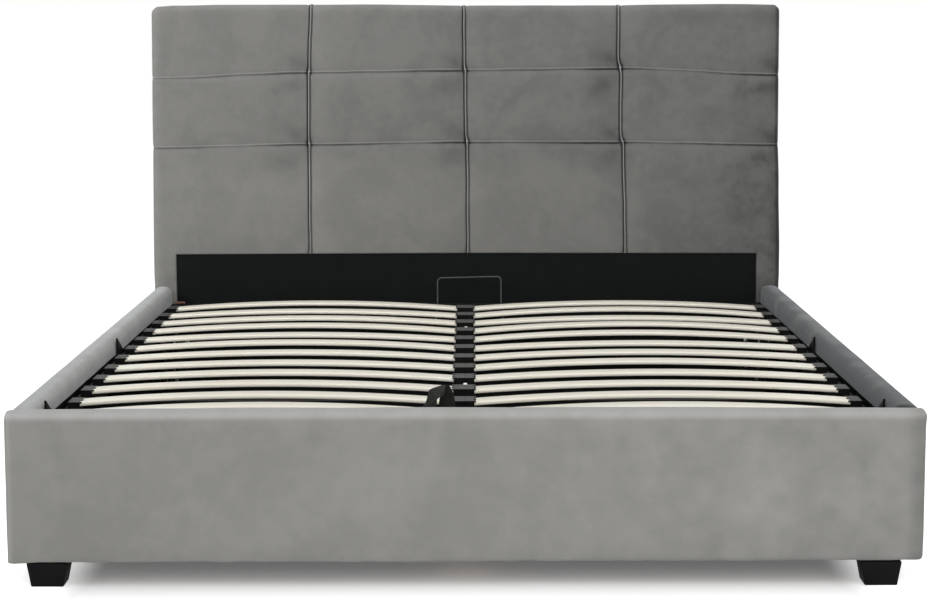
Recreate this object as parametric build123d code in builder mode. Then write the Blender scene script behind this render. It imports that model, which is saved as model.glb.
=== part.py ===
from build123d import *
import os
from math import acos, atan2, cos, degrees, hypot, radians, sin

# Upholstered storage bed with a slatted frame that lifts from the foot end.
# Millimetres, +Z up, foot end towards -Y, origin under the middle of the bed on the floor.

# Driving dimensions of the bed
mattress_width = 1600
mattress_length = 2000
mattress_play = 30
rail_thickness = 50
rail_height = 286
foot_height = 46
headboard_height = 1090
headboard_thickness = 90
overrun = 1
soft_gap = 0.3

inner_x = mattress_width / 2
outer_x = inner_x + rail_thickness
rail_top = foot_height + rail_height
overall_length = rail_thickness + mattress_length + mattress_play + headboard_thickness
foot_y = -overall_length / 2
inner_foot_y = foot_y + rail_thickness
head_y = inner_foot_y + mattress_length + mattress_play
back_y = overall_length / 2

# Upholstered rails: velvet on foam round a board
cover_side = 10
cover_top = 12
cover_base = 4
cover_edge_radius = 22
cover_end_radius = 12
board_thickness = rail_thickness - 2 * cover_side
board_height = rail_height - cover_top - cover_base
board_low = foot_height + cover_base

# Headboard
headboard_edge = 14
pad_depth = 47
pad_skirt = 6
lining_thickness = 3
lining_margin = 10
panel_half_width = 790
panel_top = 417
panel_thickness = 9
headboard_stile = 60
seam_columns = 4
row_heights = (180, 196)
seam_ridge_half = 4
seam_depth = 9
seam_ridge_rise = 3.4
seam_shoulder = 20
seam_sag_shares = (0.6, 0.3)
crown_rise = 3
row_crown_lead = 1.2
lining_front_y = back_y - lining_thickness
frame_front_y = head_y + pad_depth

# Slat frame of steel tube
tube_width = 20
tube_height = 40
tube_wall = 1.5
centre_tube_width = 30
cross_bar_height = 20
frame_recess = 46
frame_side_gap = 8
frame_foot_gap = 8
frame_head_gap = 25
frame_top = rail_top - frame_recess
frame_bottom = frame_top - tube_height
tube_outer_x = inner_x - frame_side_gap
tube_inner_x = tube_outer_x - tube_width
frame_foot_y = inner_foot_y + frame_foot_gap
frame_head_y = head_y - frame_head_gap

# Bowed slats and their plastic holders
slat_rows = 12
slat_first_setback = 125
slat_last_setback = 200
bar_row_steps = 1.5
splice_row_steps = 2.5
slat_width = 53
slat_thickness = 8
slat_bow = 15
slat_clearance = 0.15
holder_base = 3
holder_length = 30
holder_end_wall = 10
holder_side_wall = 3
holder_roof = 2.4
holder_slope_rise = 1.6
holder_chamfer = 1
holder_scallop_radius = 13
holder_scallop_bite = 3.5
centre_web = 6
slat_seat = frame_top + holder_base
slat_outer_x = tube_outer_x - holder_end_wall
slat_inner_x = centre_web / 2
holder_mouth = holder_length - holder_end_wall
holder_width = slat_width + 2 * (holder_side_wall + slat_clearance)
holder_height = holder_base + slat_thickness + holder_slope_rise + holder_roof
first_row_y = frame_foot_y + slat_first_setback
last_row_y = frame_head_y - slat_last_setback
slat_pitch = (last_row_y - first_row_y) / (slat_rows - 1)

# Lift hinge and gas struts
hinge_drop = 26
hinge_setback = 220
pivot_radius = 6
pivot_head_radius = 11
pivot_head_height = 5
running_clearance = 0.05
side_clearance = 0.3
lift_angle = 45
strut_closed_angle = 55
strut_stud_rise = 19
ear_drop = 14
strut_side_gap = 10
cylinder_radius = 9
cylinder_wall = 2
cylinder_start = 14
cylinder_headroom = 17
cylinder_cap = 8
eye_width = 10
stud_radius = 4
stud_head_radius = 6.5
stud_head_height = 3
stud_collar_radius = 7
rod_radius = 4
piston_start = 24
piston_length = 8
rod_eye_radius = 8
rod_eye_width = 7.4
pin_hole_radius = 7.5
pin_head_radius = 10
pin_head_height = 2.8
ear_thickness = 4
ear_radius = 13
plate_thickness = 2.5
plate_boss_radius = 26
plate_foot_radius = 14
plate_lug_radius = 18
plate_lug_reach = 45
plate_low_height = 35

hinge_y = frame_head_y - hinge_setback
hinge_z = frame_top - hinge_drop
strut_eye_drop = tube_height - hinge_drop + ear_drop
plate_face_x = inner_x - plate_thickness
strut_x = tube_outer_x - strut_side_gap

# Box floor
batten = 18
beam_width = 60
beam_leg = 40
beam_leg_count = 3
floor_thickness = 5
floor_count = 3
floor_joint = 2
floor_edge_gap = 2
ledge_height = 40
ledge_end_gap = 100
floor_top = foot_height + batten + floor_thickness

# Feet
foot_top_width = 79
foot_top_depth = 74
foot_taper = 8
foot_inset = 45
foot_setback = 6

# Corner brackets and bolts
bracket_leg = 60
bracket_thickness = 3
bracket_floor_gap = 21
bracket_ledge_gap = 8
bracket_bolt_margin = 20
bracket_bolt_reach = 36
bolt_radius = 4
bolt_head_radius = 7
bolt_head_height = 4
bolt_length = 30
bolt_clearance = 0.1
bolt_end_room = 1
frame_bolt_radius = 3
frame_bolt_head_radius = 7
frame_bolt_head_height = 4
frame_bolt_length = 10
frame_bolt_chamfer = 1
bracket_low = floor_top + bracket_floor_gap
bracket_height = frame_bottom - ledge_height - bracket_ledge_gap - bracket_low
bracket_bolt_pitch = bracket_height - 2 * bracket_bolt_margin

# Mattress stop, guides and pull strap
stop_wire = 6
stop_centre_x = 8
stop_half_width = 86
stop_rise = 74
stop_bend = 11
stop_setback = 10
stop_lift = 0.4
stop_eye_radius = 9
stop_eye_thickness = 4
guide_thickness = 3
guide_length = 75
guide_rise = 38
guide_tab = 30
guide_tip = 4
guide_heel = 2
guide_bend_share = 0.33
guide_setbacks = (69, 992)
strap_thickness = 3
strap_width = 38
strap_centre_x = -52
strap_half_span = 34
strap_rise = 84
strap_tab = 22
strap_shoulder_reach = 11
strap_bend = 5.5
strap_setback = 17


def write(piece, label):
    """Label a finished piece and write it as its own file."""
    piece.part.label = label
    export_step(piece.part, f"parts/{label}.step")


def point_at(distance, angle):
    """A (y, z) step of that length, at that angle in degrees above +Y."""
    return distance * cos(radians(angle)), distance * sin(radians(angle))


def strut_length(lift):
    """Distance between a strut's two eyes with the frame lifted by that angle."""
    return 2 * strut_arm * sin(radians((strut_closed_angle + lift) / 2))


# The strut's eyes and the hinge make a triangle with two equal arms.
stud_drop = hinge_z - floor_top - strut_stud_rise
closed_turn = radians(strut_closed_angle)
ear_reach = (stud_drop - strut_eye_drop * cos(closed_turn)) / sin(closed_turn)
strut_arm = hypot(ear_reach, strut_eye_drop)
ear_angle = 180 + degrees(atan2(strut_eye_drop, ear_reach))
ear_y, ear_z = hinge_y - ear_reach, hinge_z - strut_eye_drop
stud_step = point_at(strut_arm, ear_angle + strut_closed_angle)
stud_y, stud_z = hinge_y + stud_step[0], hinge_z + stud_step[1]
closed_length = strut_length(0)
open_length = strut_length(lift_angle)
rod_trim = (strut_length(lift_angle / 2) - (closed_length + open_length) / 2) / 2
pin_distance = closed_length + rod_trim
cylinder_end = closed_length - cylinder_headroom
strut_direction = ((ear_y - stud_y) / closed_length, (ear_z - stud_z) / closed_length)
pin_y = stud_y + pin_distance * strut_direction[0]
pin_z = stud_z + pin_distance * strut_direction[1]

# Rows where something crosses the frame between two slats
bar_inset = bar_row_steps * slat_pitch
splice_inset = splice_row_steps * slat_pitch
head_bar_y = last_row_y - bar_inset
foot_bar_y = first_row_y + bar_inset
splice_rows = (first_row_y + splice_inset, last_row_y - splice_inset)
stop_sides = (stop_centre_x - stop_half_width, stop_centre_x + stop_half_width)
stop_eyes = [(x, head_bar_y) for x in stop_sides]


def side_plane(side, distance):
    """Plane square to X at that distance from the middle, facing inwards, with Y and Z kept true."""
    return Plane(origin=(side * distance, 0, 0), x_dir=(0, -side, 0), z_dir=(-side, 0, 0))


def side_bolt_planes(side, seat_x, places):
    """Planes for bolts that go outwards along X from their seat."""
    return [Plane(origin=(side * seat_x, y, z), z_dir=(-side, 0, 0)) for y, z in places]


def end_bolt_planes(seat_y, facing, places):
    """Planes for bolts that go along Y away from the facing direction."""
    return [Plane(origin=(x, seat_y, z), z_dir=(0, facing, 0)) for x, z in places]


bracket_mid = bracket_low + bracket_height / 2
bracket_bolt_heights = (bracket_mid - bracket_bolt_pitch / 2, bracket_mid + bracket_bolt_pitch / 2)
bracket_rows = (inner_foot_y + bracket_bolt_reach, head_y - bracket_bolt_reach)
plate_bolt_places = (
    (hinge_y + plate_lug_reach, hinge_z),
    (hinge_y + plate_lug_reach, floor_top + plate_low_height),
    (stud_y + plate_lug_reach, stud_z + plate_lug_reach),
)


def rail_bolts(side):
    """Planes of every bolt that enters a side rail."""
    corners = [(y, z) for y in bracket_rows for z in bracket_bolt_heights]
    bracket_seat = inner_x - bracket_thickness
    at_brackets = side_bolt_planes(side, bracket_seat, corners)
    return at_brackets + side_bolt_planes(side, plate_face_x, plate_bolt_places)


def end_bolts(at_head):
    """Planes of the bolts that enter the headboard or the footboard."""
    reach = inner_x - bracket_bolt_reach
    places = [(side * reach, z) for side in (-1, 1) for z in bracket_bolt_heights]
    seat = head_y - bracket_thickness if at_head else inner_foot_y + bracket_thickness
    return end_bolt_planes(seat, -1 if at_head else 1, places)


def cut_bolt_holes(planes):
    """Cut the holes for bolts on these planes from the part that is being made."""
    with BuildSketch(*planes, mode=Mode.PRIVATE) as holes:
        Circle(bolt_radius + bolt_clearance)
    extrude(holes.sketch, amount=-(bolt_length + bolt_end_room), mode=Mode.SUBTRACT)


def rail_outline(centre, outer):
    """Section of a rail's cover or of its board, standing on the foot height."""
    with BuildSketch(Plane.XY, mode=Mode.PRIVATE) as section:
        if outer:
            with Locations((centre, foot_height + rail_height / 2)):
                Rectangle(rail_thickness, rail_height)
            fillet(section.vertices().group_by(Axis.Y)[-1], cover_edge_radius)
        else:
            with Locations((centre, board_low + board_height / 2)):
                Rectangle(board_thickness, board_height)
    add(section.sketch)


def make_side_rail(side, name):
    """Board and velvet cover of one side rail."""
    centre = side * (inner_x + rail_thickness / 2)
    end_y = head_y - soft_gap
    length = end_y - inner_foot_y - soft_gap
    with BuildPart() as cover:
        with BuildSketch(Plane.XZ.offset(-end_y)):
            rail_outline(centre, True)
        extrude(amount=length)
        with BuildSketch(Plane.XZ.offset(-end_y)):
            rail_outline(centre, False)
        extrude(amount=length, mode=Mode.SUBTRACT)
        cut_bolt_holes(rail_bolts(side))
    write(cover, f"side_rail_cover_{name}")
    with BuildPart() as board:
        with BuildSketch(Plane.XZ.offset(-end_y)):
            rail_outline(centre, False)
        extrude(amount=length)
        cut_bolt_holes(rail_bolts(side))
    write(board, f"side_rail_board_{name}")


def make_footboard():
    """Board and velvet cover across the foot of the bed."""
    centre = foot_y + rail_thickness / 2
    board_reach = outer_x - cover_side
    with BuildPart() as cover:
        with BuildSketch(Plane.YZ):
            rail_outline(centre, True)
        extrude(amount=outer_x, both=True)
        ends = cover.faces().filter_by(Axis.X)
        fillet(ends.edges() - ends.edges().group_by(Axis.Z)[0], cover_end_radius)
        with BuildSketch(Plane.YZ):
            rail_outline(centre, False)
        extrude(amount=board_reach, both=True, mode=Mode.SUBTRACT)
        cut_bolt_holes(end_bolts(False))
    write(cover, "footboard_cover")
    with BuildPart() as board:
        with BuildSketch(Plane.YZ):
            rail_outline(centre, False)
        extrude(amount=board_reach, both=True)
        cut_bolt_holes(end_bolts(False))
    write(board, "footboard_board")


def pad_outline(low, high, seams, edge_low, peak):
    """Section of the pad: its crowned and seamed front along x, its depth along y."""
    front = peak + crown_rise
    groove = peak + seam_depth
    ridge = groove - seam_ridge_rise
    corner = front + headboard_edge
    slant = headboard_edge * (1 - cos(radians(45)))
    run_share, sag_share = seam_sag_shares
    sag_y = front + (groove - front) * sag_share
    stops = [low, *seams, high]
    with BuildLine() as outline:
        for index, (start, end) in enumerate(zip(stops, stops[1:])):
            first, last = index == 0, end == high
            open_side = first and not edge_low
            left = start if open_side else start + (headboard_edge if first else seam_shoulder)
            right = end - (headboard_edge if last else seam_shoulder)
            ThreePointArc((left, front), ((left + right) / 2, peak), (right, front))
            if first and edge_low:
                ThreePointArc((start, corner), (start + slant, front + slant), (left, front))
            elif first:
                Line((start, frame_front_y), (start, front))
            if last:
                ThreePointArc((right, front), (end - slant, front + slant), (end, corner))
            else:
                foot = (end - seam_ridge_half, groove)
                ThreePointArc((right, front), (right + (foot[0] - right) * run_share, sag_y), foot)
                across = (end + seam_ridge_half, groove)
                ThreePointArc(foot, (end, ridge), across)
                rise_x = end + seam_shoulder
                ThreePointArc(across, (rise_x - (rise_x - across[0]) * run_share, sag_y), (rise_x, front))
        if edge_low:
            Line((low, corner), (low, frame_front_y))
        Polyline((low, frame_front_y), (high, frame_front_y), (high, corner))
    make_face(outline.edges())


def make_headboard_pad():
    """Crowned and seamed front with side strips, and skirts over the timber's edges."""
    seam_step = 2 * outer_x / seam_columns
    columns = [index * seam_step - outer_x for index in range(1, seam_columns)]
    rows = [headboard_height - row_heights[0] - row_heights[1], headboard_height - row_heights[0]]
    upright = Plane(origin=(0, 0, 0), x_dir=(0, 0, 1), z_dir=(-1, 0, 0))
    inner_half = outer_x - pad_skirt
    skirt_depth = lining_front_y - frame_front_y
    with BuildPart() as pad:
        with BuildSketch(Plane.XY.offset(foot_height)):
            pad_outline(-outer_x, outer_x, columns, True, head_y)
        extrude(amount=headboard_height - foot_height)
        with BuildSketch(upright):
            pad_outline(panel_top, headboard_height, rows, False, head_y - row_crown_lead)
            with Locations(((foot_height + panel_top) / 2, (head_y + frame_front_y) / 2)):
                Rectangle(panel_top - foot_height, pad_depth + 2 * seam_depth)
        extrude(amount=outer_x + overrun, both=True, mode=Mode.INTERSECT)
        with BuildSketch(Plane.XZ.offset(-lining_front_y)):
            with Locations((0, (foot_height + headboard_height) / 2)):
                Rectangle(2 * outer_x, headboard_height - foot_height)
            with Locations((0, (foot_height + headboard_height - pad_skirt) / 2)):
                Rectangle(2 * inner_half, headboard_height - pad_skirt - foot_height, mode=Mode.SUBTRACT)
        extrude(amount=skirt_depth)
        with BuildSketch(Plane.XZ.offset(-frame_front_y)):
            with Locations((0, (foot_height + panel_top) / 2)):
                Rectangle(2 * panel_half_width, panel_top - foot_height)
        extrude(amount=pad_depth + overrun, mode=Mode.SUBTRACT)
        cut_bolt_holes(end_bolts(True))
    write(pad, "headboard_pad")


def make_headboard_frame():
    """Timber ladder inside the headboard, with a raised part behind the lower panel."""
    half = outer_x - pad_skirt
    top = headboard_height - pad_skirt
    depth = lining_front_y - frame_front_y
    window_width = (2 * half - 3 * headboard_stile) / 2
    window_height = (top - foot_height - 3 * headboard_stile) / 2
    step_x = window_width + headboard_stile
    step_z = window_height + headboard_stile
    raised = pad_depth - panel_thickness
    with BuildPart() as frame:
        with BuildSketch(Plane.XZ.offset(-lining_front_y)):
            with Locations((0, (foot_height + top) / 2)):
                Rectangle(2 * half, top - foot_height)
                with GridLocations(step_x, step_z, 2, 2):
                    Rectangle(window_width, window_height, mode=Mode.SUBTRACT)
        extrude(amount=depth)
        with BuildSketch(Plane.XZ.offset(-frame_front_y)):
            with Locations((0, (foot_height + panel_top) / 2)):
                Rectangle(2 * panel_half_width, panel_top - foot_height)
                Rectangle(
                    2 * (panel_half_width - 2 * headboard_stile),
                    panel_top - foot_height - 2 * headboard_stile,
                    mode=Mode.SUBTRACT,
                )
        extrude(amount=raised)
        cut_bolt_holes(end_bolts(True))
    write(frame, "headboard_frame")


def make_headboard_panel():
    """Flat dark panel on the lower front of the headboard."""
    with BuildPart() as panel:
        with BuildSketch(Plane.XZ.offset(-head_y - panel_thickness)):
            with Locations((0, (foot_height + panel_top) / 2)):
                Rectangle(2 * panel_half_width, panel_top - foot_height)
        extrude(amount=panel_thickness)
        cut_bolt_holes(end_bolts(True))
    write(panel, "headboard_lower_panel")


def make_headboard_lining():
    """Thin lining over the back of the headboard."""
    with BuildPart() as lining:
        with BuildSketch(Plane.XZ.offset(-back_y)):
            with Locations((0, (foot_height + headboard_height - lining_margin) / 2)):
                Rectangle(2 * (outer_x - lining_margin), headboard_height - lining_margin - foot_height)
        extrude(amount=lining_thickness)
    write(lining, "headboard_back_lining")


def make_feet():
    """Four tapered block feet, one under each corner."""
    foot_x = outer_x - foot_inset - foot_top_width / 2
    front_y = foot_y + foot_setback + foot_top_depth / 2
    rear_y = back_y - foot_setback - foot_top_depth / 2
    places = [(side * foot_x, y) for side in (-1, 1) for y in (front_y, rear_y)]
    with BuildPart() as feet:
        with BuildSketch(Plane.XY.offset(foot_height)):
            with Locations(*places):
                Rectangle(foot_top_width, foot_top_depth)
        taper = degrees(acos(foot_height / (foot_height**2 + foot_taper**2) ** 0.5))
        extrude(amount=-foot_height, taper=taper)
    write(feet, "feet")


def make_floor():
    """Battens, centre beam with its legs, and the floor panels of the storage box."""
    run = head_y - inner_foot_y
    mid_y = (inner_foot_y + head_y) / 2
    level = Plane.XY.offset(foot_height)
    side_run = run - 2 * (batten + soft_gap)
    cross_run = inner_x - beam_width / 2
    with BuildPart() as battens:
        with BuildSketch(level):
            with Locations((0, mid_y)):
                with GridLocations(2 * inner_x - batten, 0, 2, 1):
                    Rectangle(batten, side_run)
                with GridLocations(inner_x + beam_width / 2, run - batten, 2, 2):
                    Rectangle(cross_run, batten)
        extrude(amount=batten)
        with BuildSketch(Plane.XY.offset(frame_bottom - ledge_height)):
            with Locations((0, inner_foot_y + tube_width / 2)):
                Rectangle(2 * (inner_x - ledge_end_gap), tube_width)
        extrude(amount=ledge_height)
    write(battens, "support_battens")
    with BuildPart() as beam:
        with BuildSketch(level):
            with Locations((0, mid_y)):
                Rectangle(beam_width, run)
        extrude(amount=batten)
    write(beam, "floor_beam")
    with BuildPart() as legs:
        with BuildSketch(Plane.XY):
            with Locations((0, mid_y)):
                with GridLocations(0, run / (beam_leg_count + 1), 1, beam_leg_count):
                    Rectangle(beam_leg, beam_leg)
        extrude(amount=foot_height)
    write(legs, "floor_beam_legs")
    panel_run = (run - 2 * floor_edge_gap - (floor_count - 1) * floor_joint) / floor_count
    with BuildPart() as panels:
        with BuildSketch(Plane.XY.offset(foot_height + batten)):
            with Locations((0, mid_y)):
                with GridLocations(0, panel_run + floor_joint, 1, floor_count):
                    Rectangle(2 * (inner_x - floor_edge_gap), panel_run)
        extrude(amount=floor_thickness)
    write(panels, "floor_panels")


def make_brackets():
    """Four angle brackets in the corners of the box, and every bolt of the bed base."""
    corners = [(side, end) for side in (-1, 1) for end in (-1, 1)]
    with BuildPart() as brackets:
        with BuildSketch(Plane.XY.offset(bracket_low)):
            for side, end in corners:
                wall_y = inner_foot_y if end < 0 else head_y
                mid = bracket_leg / 2
                with Locations((side * (inner_x - bracket_thickness / 2), wall_y - end * mid)):
                    Rectangle(bracket_thickness, bracket_leg)
                with Locations((side * (inner_x - mid), wall_y - end * bracket_thickness / 2)):
                    Rectangle(bracket_leg, bracket_thickness)
        extrude(amount=bracket_height)
        cut_bolt_holes(rail_bolts(-1) + rail_bolts(1) + end_bolts(True) + end_bolts(False))
    write(brackets, "corner_brackets")
    planes = rail_bolts(-1) + rail_bolts(1) + end_bolts(True) + end_bolts(False)
    with BuildPart() as bolts:
        with BuildSketch(*planes):
            RegularPolygon(bolt_head_radius, 6)
        extrude(amount=bolt_head_height)
        with BuildSketch(*planes):
            Circle(bolt_radius)
        extrude(amount=-bolt_length)
    write(bolts, "assembly_bolts")


def tube_section(width, height, centre_x, centre_z):
    """Hollow rectangular tube section."""
    with Locations((centre_x, centre_z)):
        Rectangle(width, height)
        Rectangle(width - 2 * tube_wall, height - 2 * tube_wall, mode=Mode.SUBTRACT)


def make_side_tube(side, name):
    """Side tube of the slat frame, with the welded ear for its gas strut."""
    mid_z = frame_top - tube_height / 2
    with BuildPart() as tube:
        with BuildSketch(Plane.XZ.offset(-frame_head_y)):
            tube_section(tube_width, tube_height, side * (tube_outer_x - tube_width / 2), mid_z)
        extrude(amount=frame_head_y - frame_foot_y)
        with BuildSketch(side_plane(side, tube_inner_x)):
            with Locations((-side * ear_y, ear_z)):
                Circle(ear_radius)
            with Locations((-side * ear_y, (ear_z + frame_bottom) / 2)):
                Rectangle(2 * ear_radius, frame_bottom - ear_z)
            with Locations((-side * ear_y, ear_z)):
                Circle(pin_hole_radius, mode=Mode.SUBTRACT)
        extrude(amount=-ear_thickness)
        with BuildSketch(side_plane(side, tube_outer_x + overrun)):
            with Locations((-side * hinge_y, hinge_z)):
                Circle(pivot_radius + running_clearance)
        extrude(amount=tube_width + 2 * overrun, mode=Mode.SUBTRACT)
    write(tube, f"frame_side_tube_{name}")


def make_frame_tubes():
    """Foot, head and centre tubes and the cross bars of the slat frame."""
    mid_z = frame_top - tube_height / 2
    for label, end_y in (("frame_foot_tube", frame_foot_y), ("frame_head_tube", frame_head_y - tube_width)):
        with BuildPart() as tube:
            with BuildSketch(Plane.YZ):
                tube_section(tube_width, tube_height, end_y + tube_width / 2, mid_z)
            extrude(amount=tube_inner_x, both=True)
        write(tube, label)
    start_y = frame_foot_y + tube_width
    end_y = frame_head_y - tube_width
    with BuildPart() as centre:
        with BuildSketch(Plane.XZ.offset(-end_y)):
            tube_section(centre_tube_width, tube_height, 0, mid_z)
        extrude(amount=end_y - start_y)
        with BuildSketch(Plane.XY.offset(frame_top)):
            with Locations(*[(0, y) for y in splice_rows]):
                Circle(frame_bolt_radius + bolt_clearance)
        extrude(amount=-frame_bolt_length, mode=Mode.SUBTRACT)
    write(centre, "frame_centre_tube")
    bar_length = tube_inner_x - centre_tube_width / 2
    bar_mid = (tube_inner_x + centre_tube_width / 2) / 2
    with BuildPart() as bars:
        for bar_y in (foot_bar_y, head_bar_y):
            with BuildSketch(Plane.YZ.offset(bar_mid), Plane.YZ.offset(-bar_mid)):
                tube_section(tube_width, cross_bar_height, bar_y, frame_top - cross_bar_height / 2)
            extrude(amount=bar_length / 2, both=True)
        with BuildSketch(Plane.XY.offset(frame_top)):
            with Locations(*stop_eyes):
                Circle(frame_bolt_radius + bolt_clearance)
        extrude(amount=-frame_bolt_length, mode=Mode.SUBTRACT)
    write(bars, "frame_cross_bars")


def slat_band(side, clearance):
    """Side view of a bowed slat, grown by the clearance all round."""
    inner = side * (slat_inner_x - clearance)
    outer = side * (slat_outer_x + clearance)
    middle = side * (slat_inner_x + slat_outer_x) / 2
    low = slat_seat - clearance
    high = slat_seat + slat_thickness + clearance
    with BuildLine() as band:
        ThreePointArc((inner, low), (middle, low + slat_bow), (outer, low))
        Line((outer, low), (outer, high))
        ThreePointArc((outer, high), (middle, high + slat_bow), (inner, high))
        Line((inner, high), (inner, low))
    make_face(band.edges())


def make_slats(side, name):
    """The bowed slats of one side, counted from the foot end."""
    for row in range(slat_rows):
        row_y = first_row_y + row * slat_pitch
        with BuildPart() as slat:
            with BuildSketch(Plane.XZ.offset(-row_y)):
                slat_band(side, 0)
            extrude(amount=slat_width / 2, both=True)
        write(slat, f"slat_{name}_{row + 1:02d}")


def holder_block(low_x, high_x, sides, mouths):
    """One holder on the middle row line, with a pocket for each side and scalloped lips."""
    with BuildPart(mode=Mode.PRIVATE) as block:
        with BuildSketch(Plane.XY.offset(frame_top)):
            with Locations(((low_x + high_x) / 2, 0)):
                Rectangle(high_x - low_x, holder_width)
        extrude(amount=holder_height)
        chamfer(block.faces().sort_by(Axis.Z)[-1].edges(), holder_chamfer)
        for side in sides:
            with BuildSketch(Plane.XZ):
                slat_band(side, slat_clearance)
            extrude(amount=slat_width / 2 + slat_clearance, both=True, mode=Mode.SUBTRACT)
        reach = holder_scallop_radius - holder_scallop_bite
        with BuildSketch(Plane.XY.offset(slat_seat + slat_thickness / 2)):
            for mouth_x, outwards in mouths:
                with Locations((mouth_x + outwards * reach, 0)):
                    with GridLocations(0, slat_width / 2, 1, 2):
                        Circle(holder_scallop_radius)
        extrude(amount=holder_height, mode=Mode.SUBTRACT)
    return block.part


def make_holders():
    """Single holders on the side tubes and double ones on the centre tube."""
    low = tube_outer_x - holder_length
    half = slat_inner_x + holder_mouth
    kinds = {
        "slat_holders_left": (-tube_outer_x, -low, (-1,), ((-low, 1),)),
        "slat_holders_right": (low, tube_outer_x, (1,), ((low, -1),)),
        "slat_holders_centre": (-half, half, (-1, 1), ((half, 1), (-half, -1))),
    }
    for label, (low_x, high_x, sides, mouths) in kinds.items():
        block = holder_block(low_x, high_x, sides, mouths)
        with BuildPart() as holders:
            with Locations(*[(0, first_row_y + row * slat_pitch, 0) for row in range(slat_rows)]):
                add(block)
        write(holders, label)


def make_stop_bar():
    """Bent wire that stops the mattress at the head end, with two flat eyes."""
    wire = stop_wire / 2
    low = frame_top + wire + stop_lift
    bar_y = frame_head_y - stop_setback
    high = frame_top + stop_rise - wire
    start_y = head_bar_y + stop_eye_radius / 2
    left_x, right_x = stop_sides
    climb = ((start_y, low), (bar_y, low), (bar_y, high))
    route = [(left_x, y, z) for y, z in climb] + [(right_x, y, z) for y, z in reversed(climb)]
    with BuildPart() as bar:
        with BuildLine():
            FilletPolyline(*route, radius=stop_bend)
        with BuildSketch(Plane(origin=route[0], z_dir=(0, 1, 0))):
            Circle(wire)
        sweep()
        with BuildSketch(Plane.XY.offset(frame_top)):
            with Locations(*stop_eyes):
                Circle(stop_eye_radius)
        extrude(amount=stop_eye_thickness)
        with BuildSketch(Plane.XY.offset(frame_top)):
            with Locations(*stop_eyes):
                Circle(frame_bolt_radius + bolt_clearance)
        extrude(amount=stop_wire + overrun, mode=Mode.SUBTRACT)
        with BuildSketch(Plane.XY.offset(frame_top + stop_eye_thickness)):
            with Locations(*stop_eyes):
                Circle(frame_bolt_head_radius + bolt_clearance)
        extrude(amount=stop_wire, mode=Mode.SUBTRACT)
    write(bar, "mattress_stop_bar")


def make_frame_bolts():
    """Bright bolts in the centre tube and through the eyes of the mattress stop."""
    on_tube = [Plane(origin=(0, y, frame_top)) for y in splice_rows]
    eye_top = frame_top + stop_eye_thickness
    on_eyes = [Plane(origin=(x, y, eye_top)) for x, y in stop_eyes]
    with BuildPart() as bolts:
        with BuildSketch(*on_tube, *on_eyes):
            Circle(frame_bolt_head_radius)
        extrude(amount=frame_bolt_head_height)
        chamfer(bolts.edges().filter_by(GeomType.CIRCLE).group_by(Axis.Z)[-1], frame_bolt_chamfer)
        chamfer(bolts.faces().filter_by(Axis.Z).group_by(Axis.Z)[-2].edges(), frame_bolt_chamfer)
        with BuildSketch(*on_tube, *on_eyes):
            Circle(frame_bolt_radius)
        extrude(amount=-frame_bolt_length)
    write(bolts, "frame_bolts")


def make_guides():
    """Curved fins on the side tubes that keep the mattress from sliding sideways."""
    low = frame_top - guide_tab
    high = frame_top + guide_rise
    with BuildPart() as guides:
        for side in (-1, 1):
            with BuildSketch(side_plane(side, tube_outer_x)):
                for setback in guide_setbacks:
                    y = frame_foot_y + setback
                    toe, tip, heel = (-side * (y + step) for step in (0, guide_tip, guide_length))
                    bend = -side * (y + guide_length * guide_bend_share)
                    dip = frame_top + guide_rise * guide_bend_share
                    with BuildLine():
                        Polyline((heel, frame_top + guide_heel), (heel, low), (toe, low), (toe, high), (tip, high))
                        ThreePointArc((tip, high), (bend, dip), (heel, frame_top + guide_heel))
                    make_face()
            extrude(amount=-guide_thickness)
    write(guides, "mattress_guides")


def make_strap():
    """Webbing loop that stands on the foot tube and is pulled to lift the frame."""
    left = strap_centre_x - strap_half_span
    right = strap_centre_x + strap_half_span
    low = frame_top + strap_thickness / 2
    high = frame_top + strap_rise - strap_thickness / 2
    shoulder = (frame_top + high) / 2
    route = [(left - strap_tab, low), (left, low), (left + strap_shoulder_reach, shoulder),
             (strap_centre_x, high), (right - strap_bend, shoulder), (right, low), (right + strap_tab, low)]
    row_y = frame_foot_y + strap_setback
    with BuildPart() as strap:
        with BuildSketch(Plane.XZ.offset(-row_y)):
            with BuildLine():
                FilletPolyline(*route, radius=strap_bend)
            trace(line_width=strap_thickness)
        extrude(amount=strap_width / 2, both=True)
    write(strap, "pull_strap")


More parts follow.
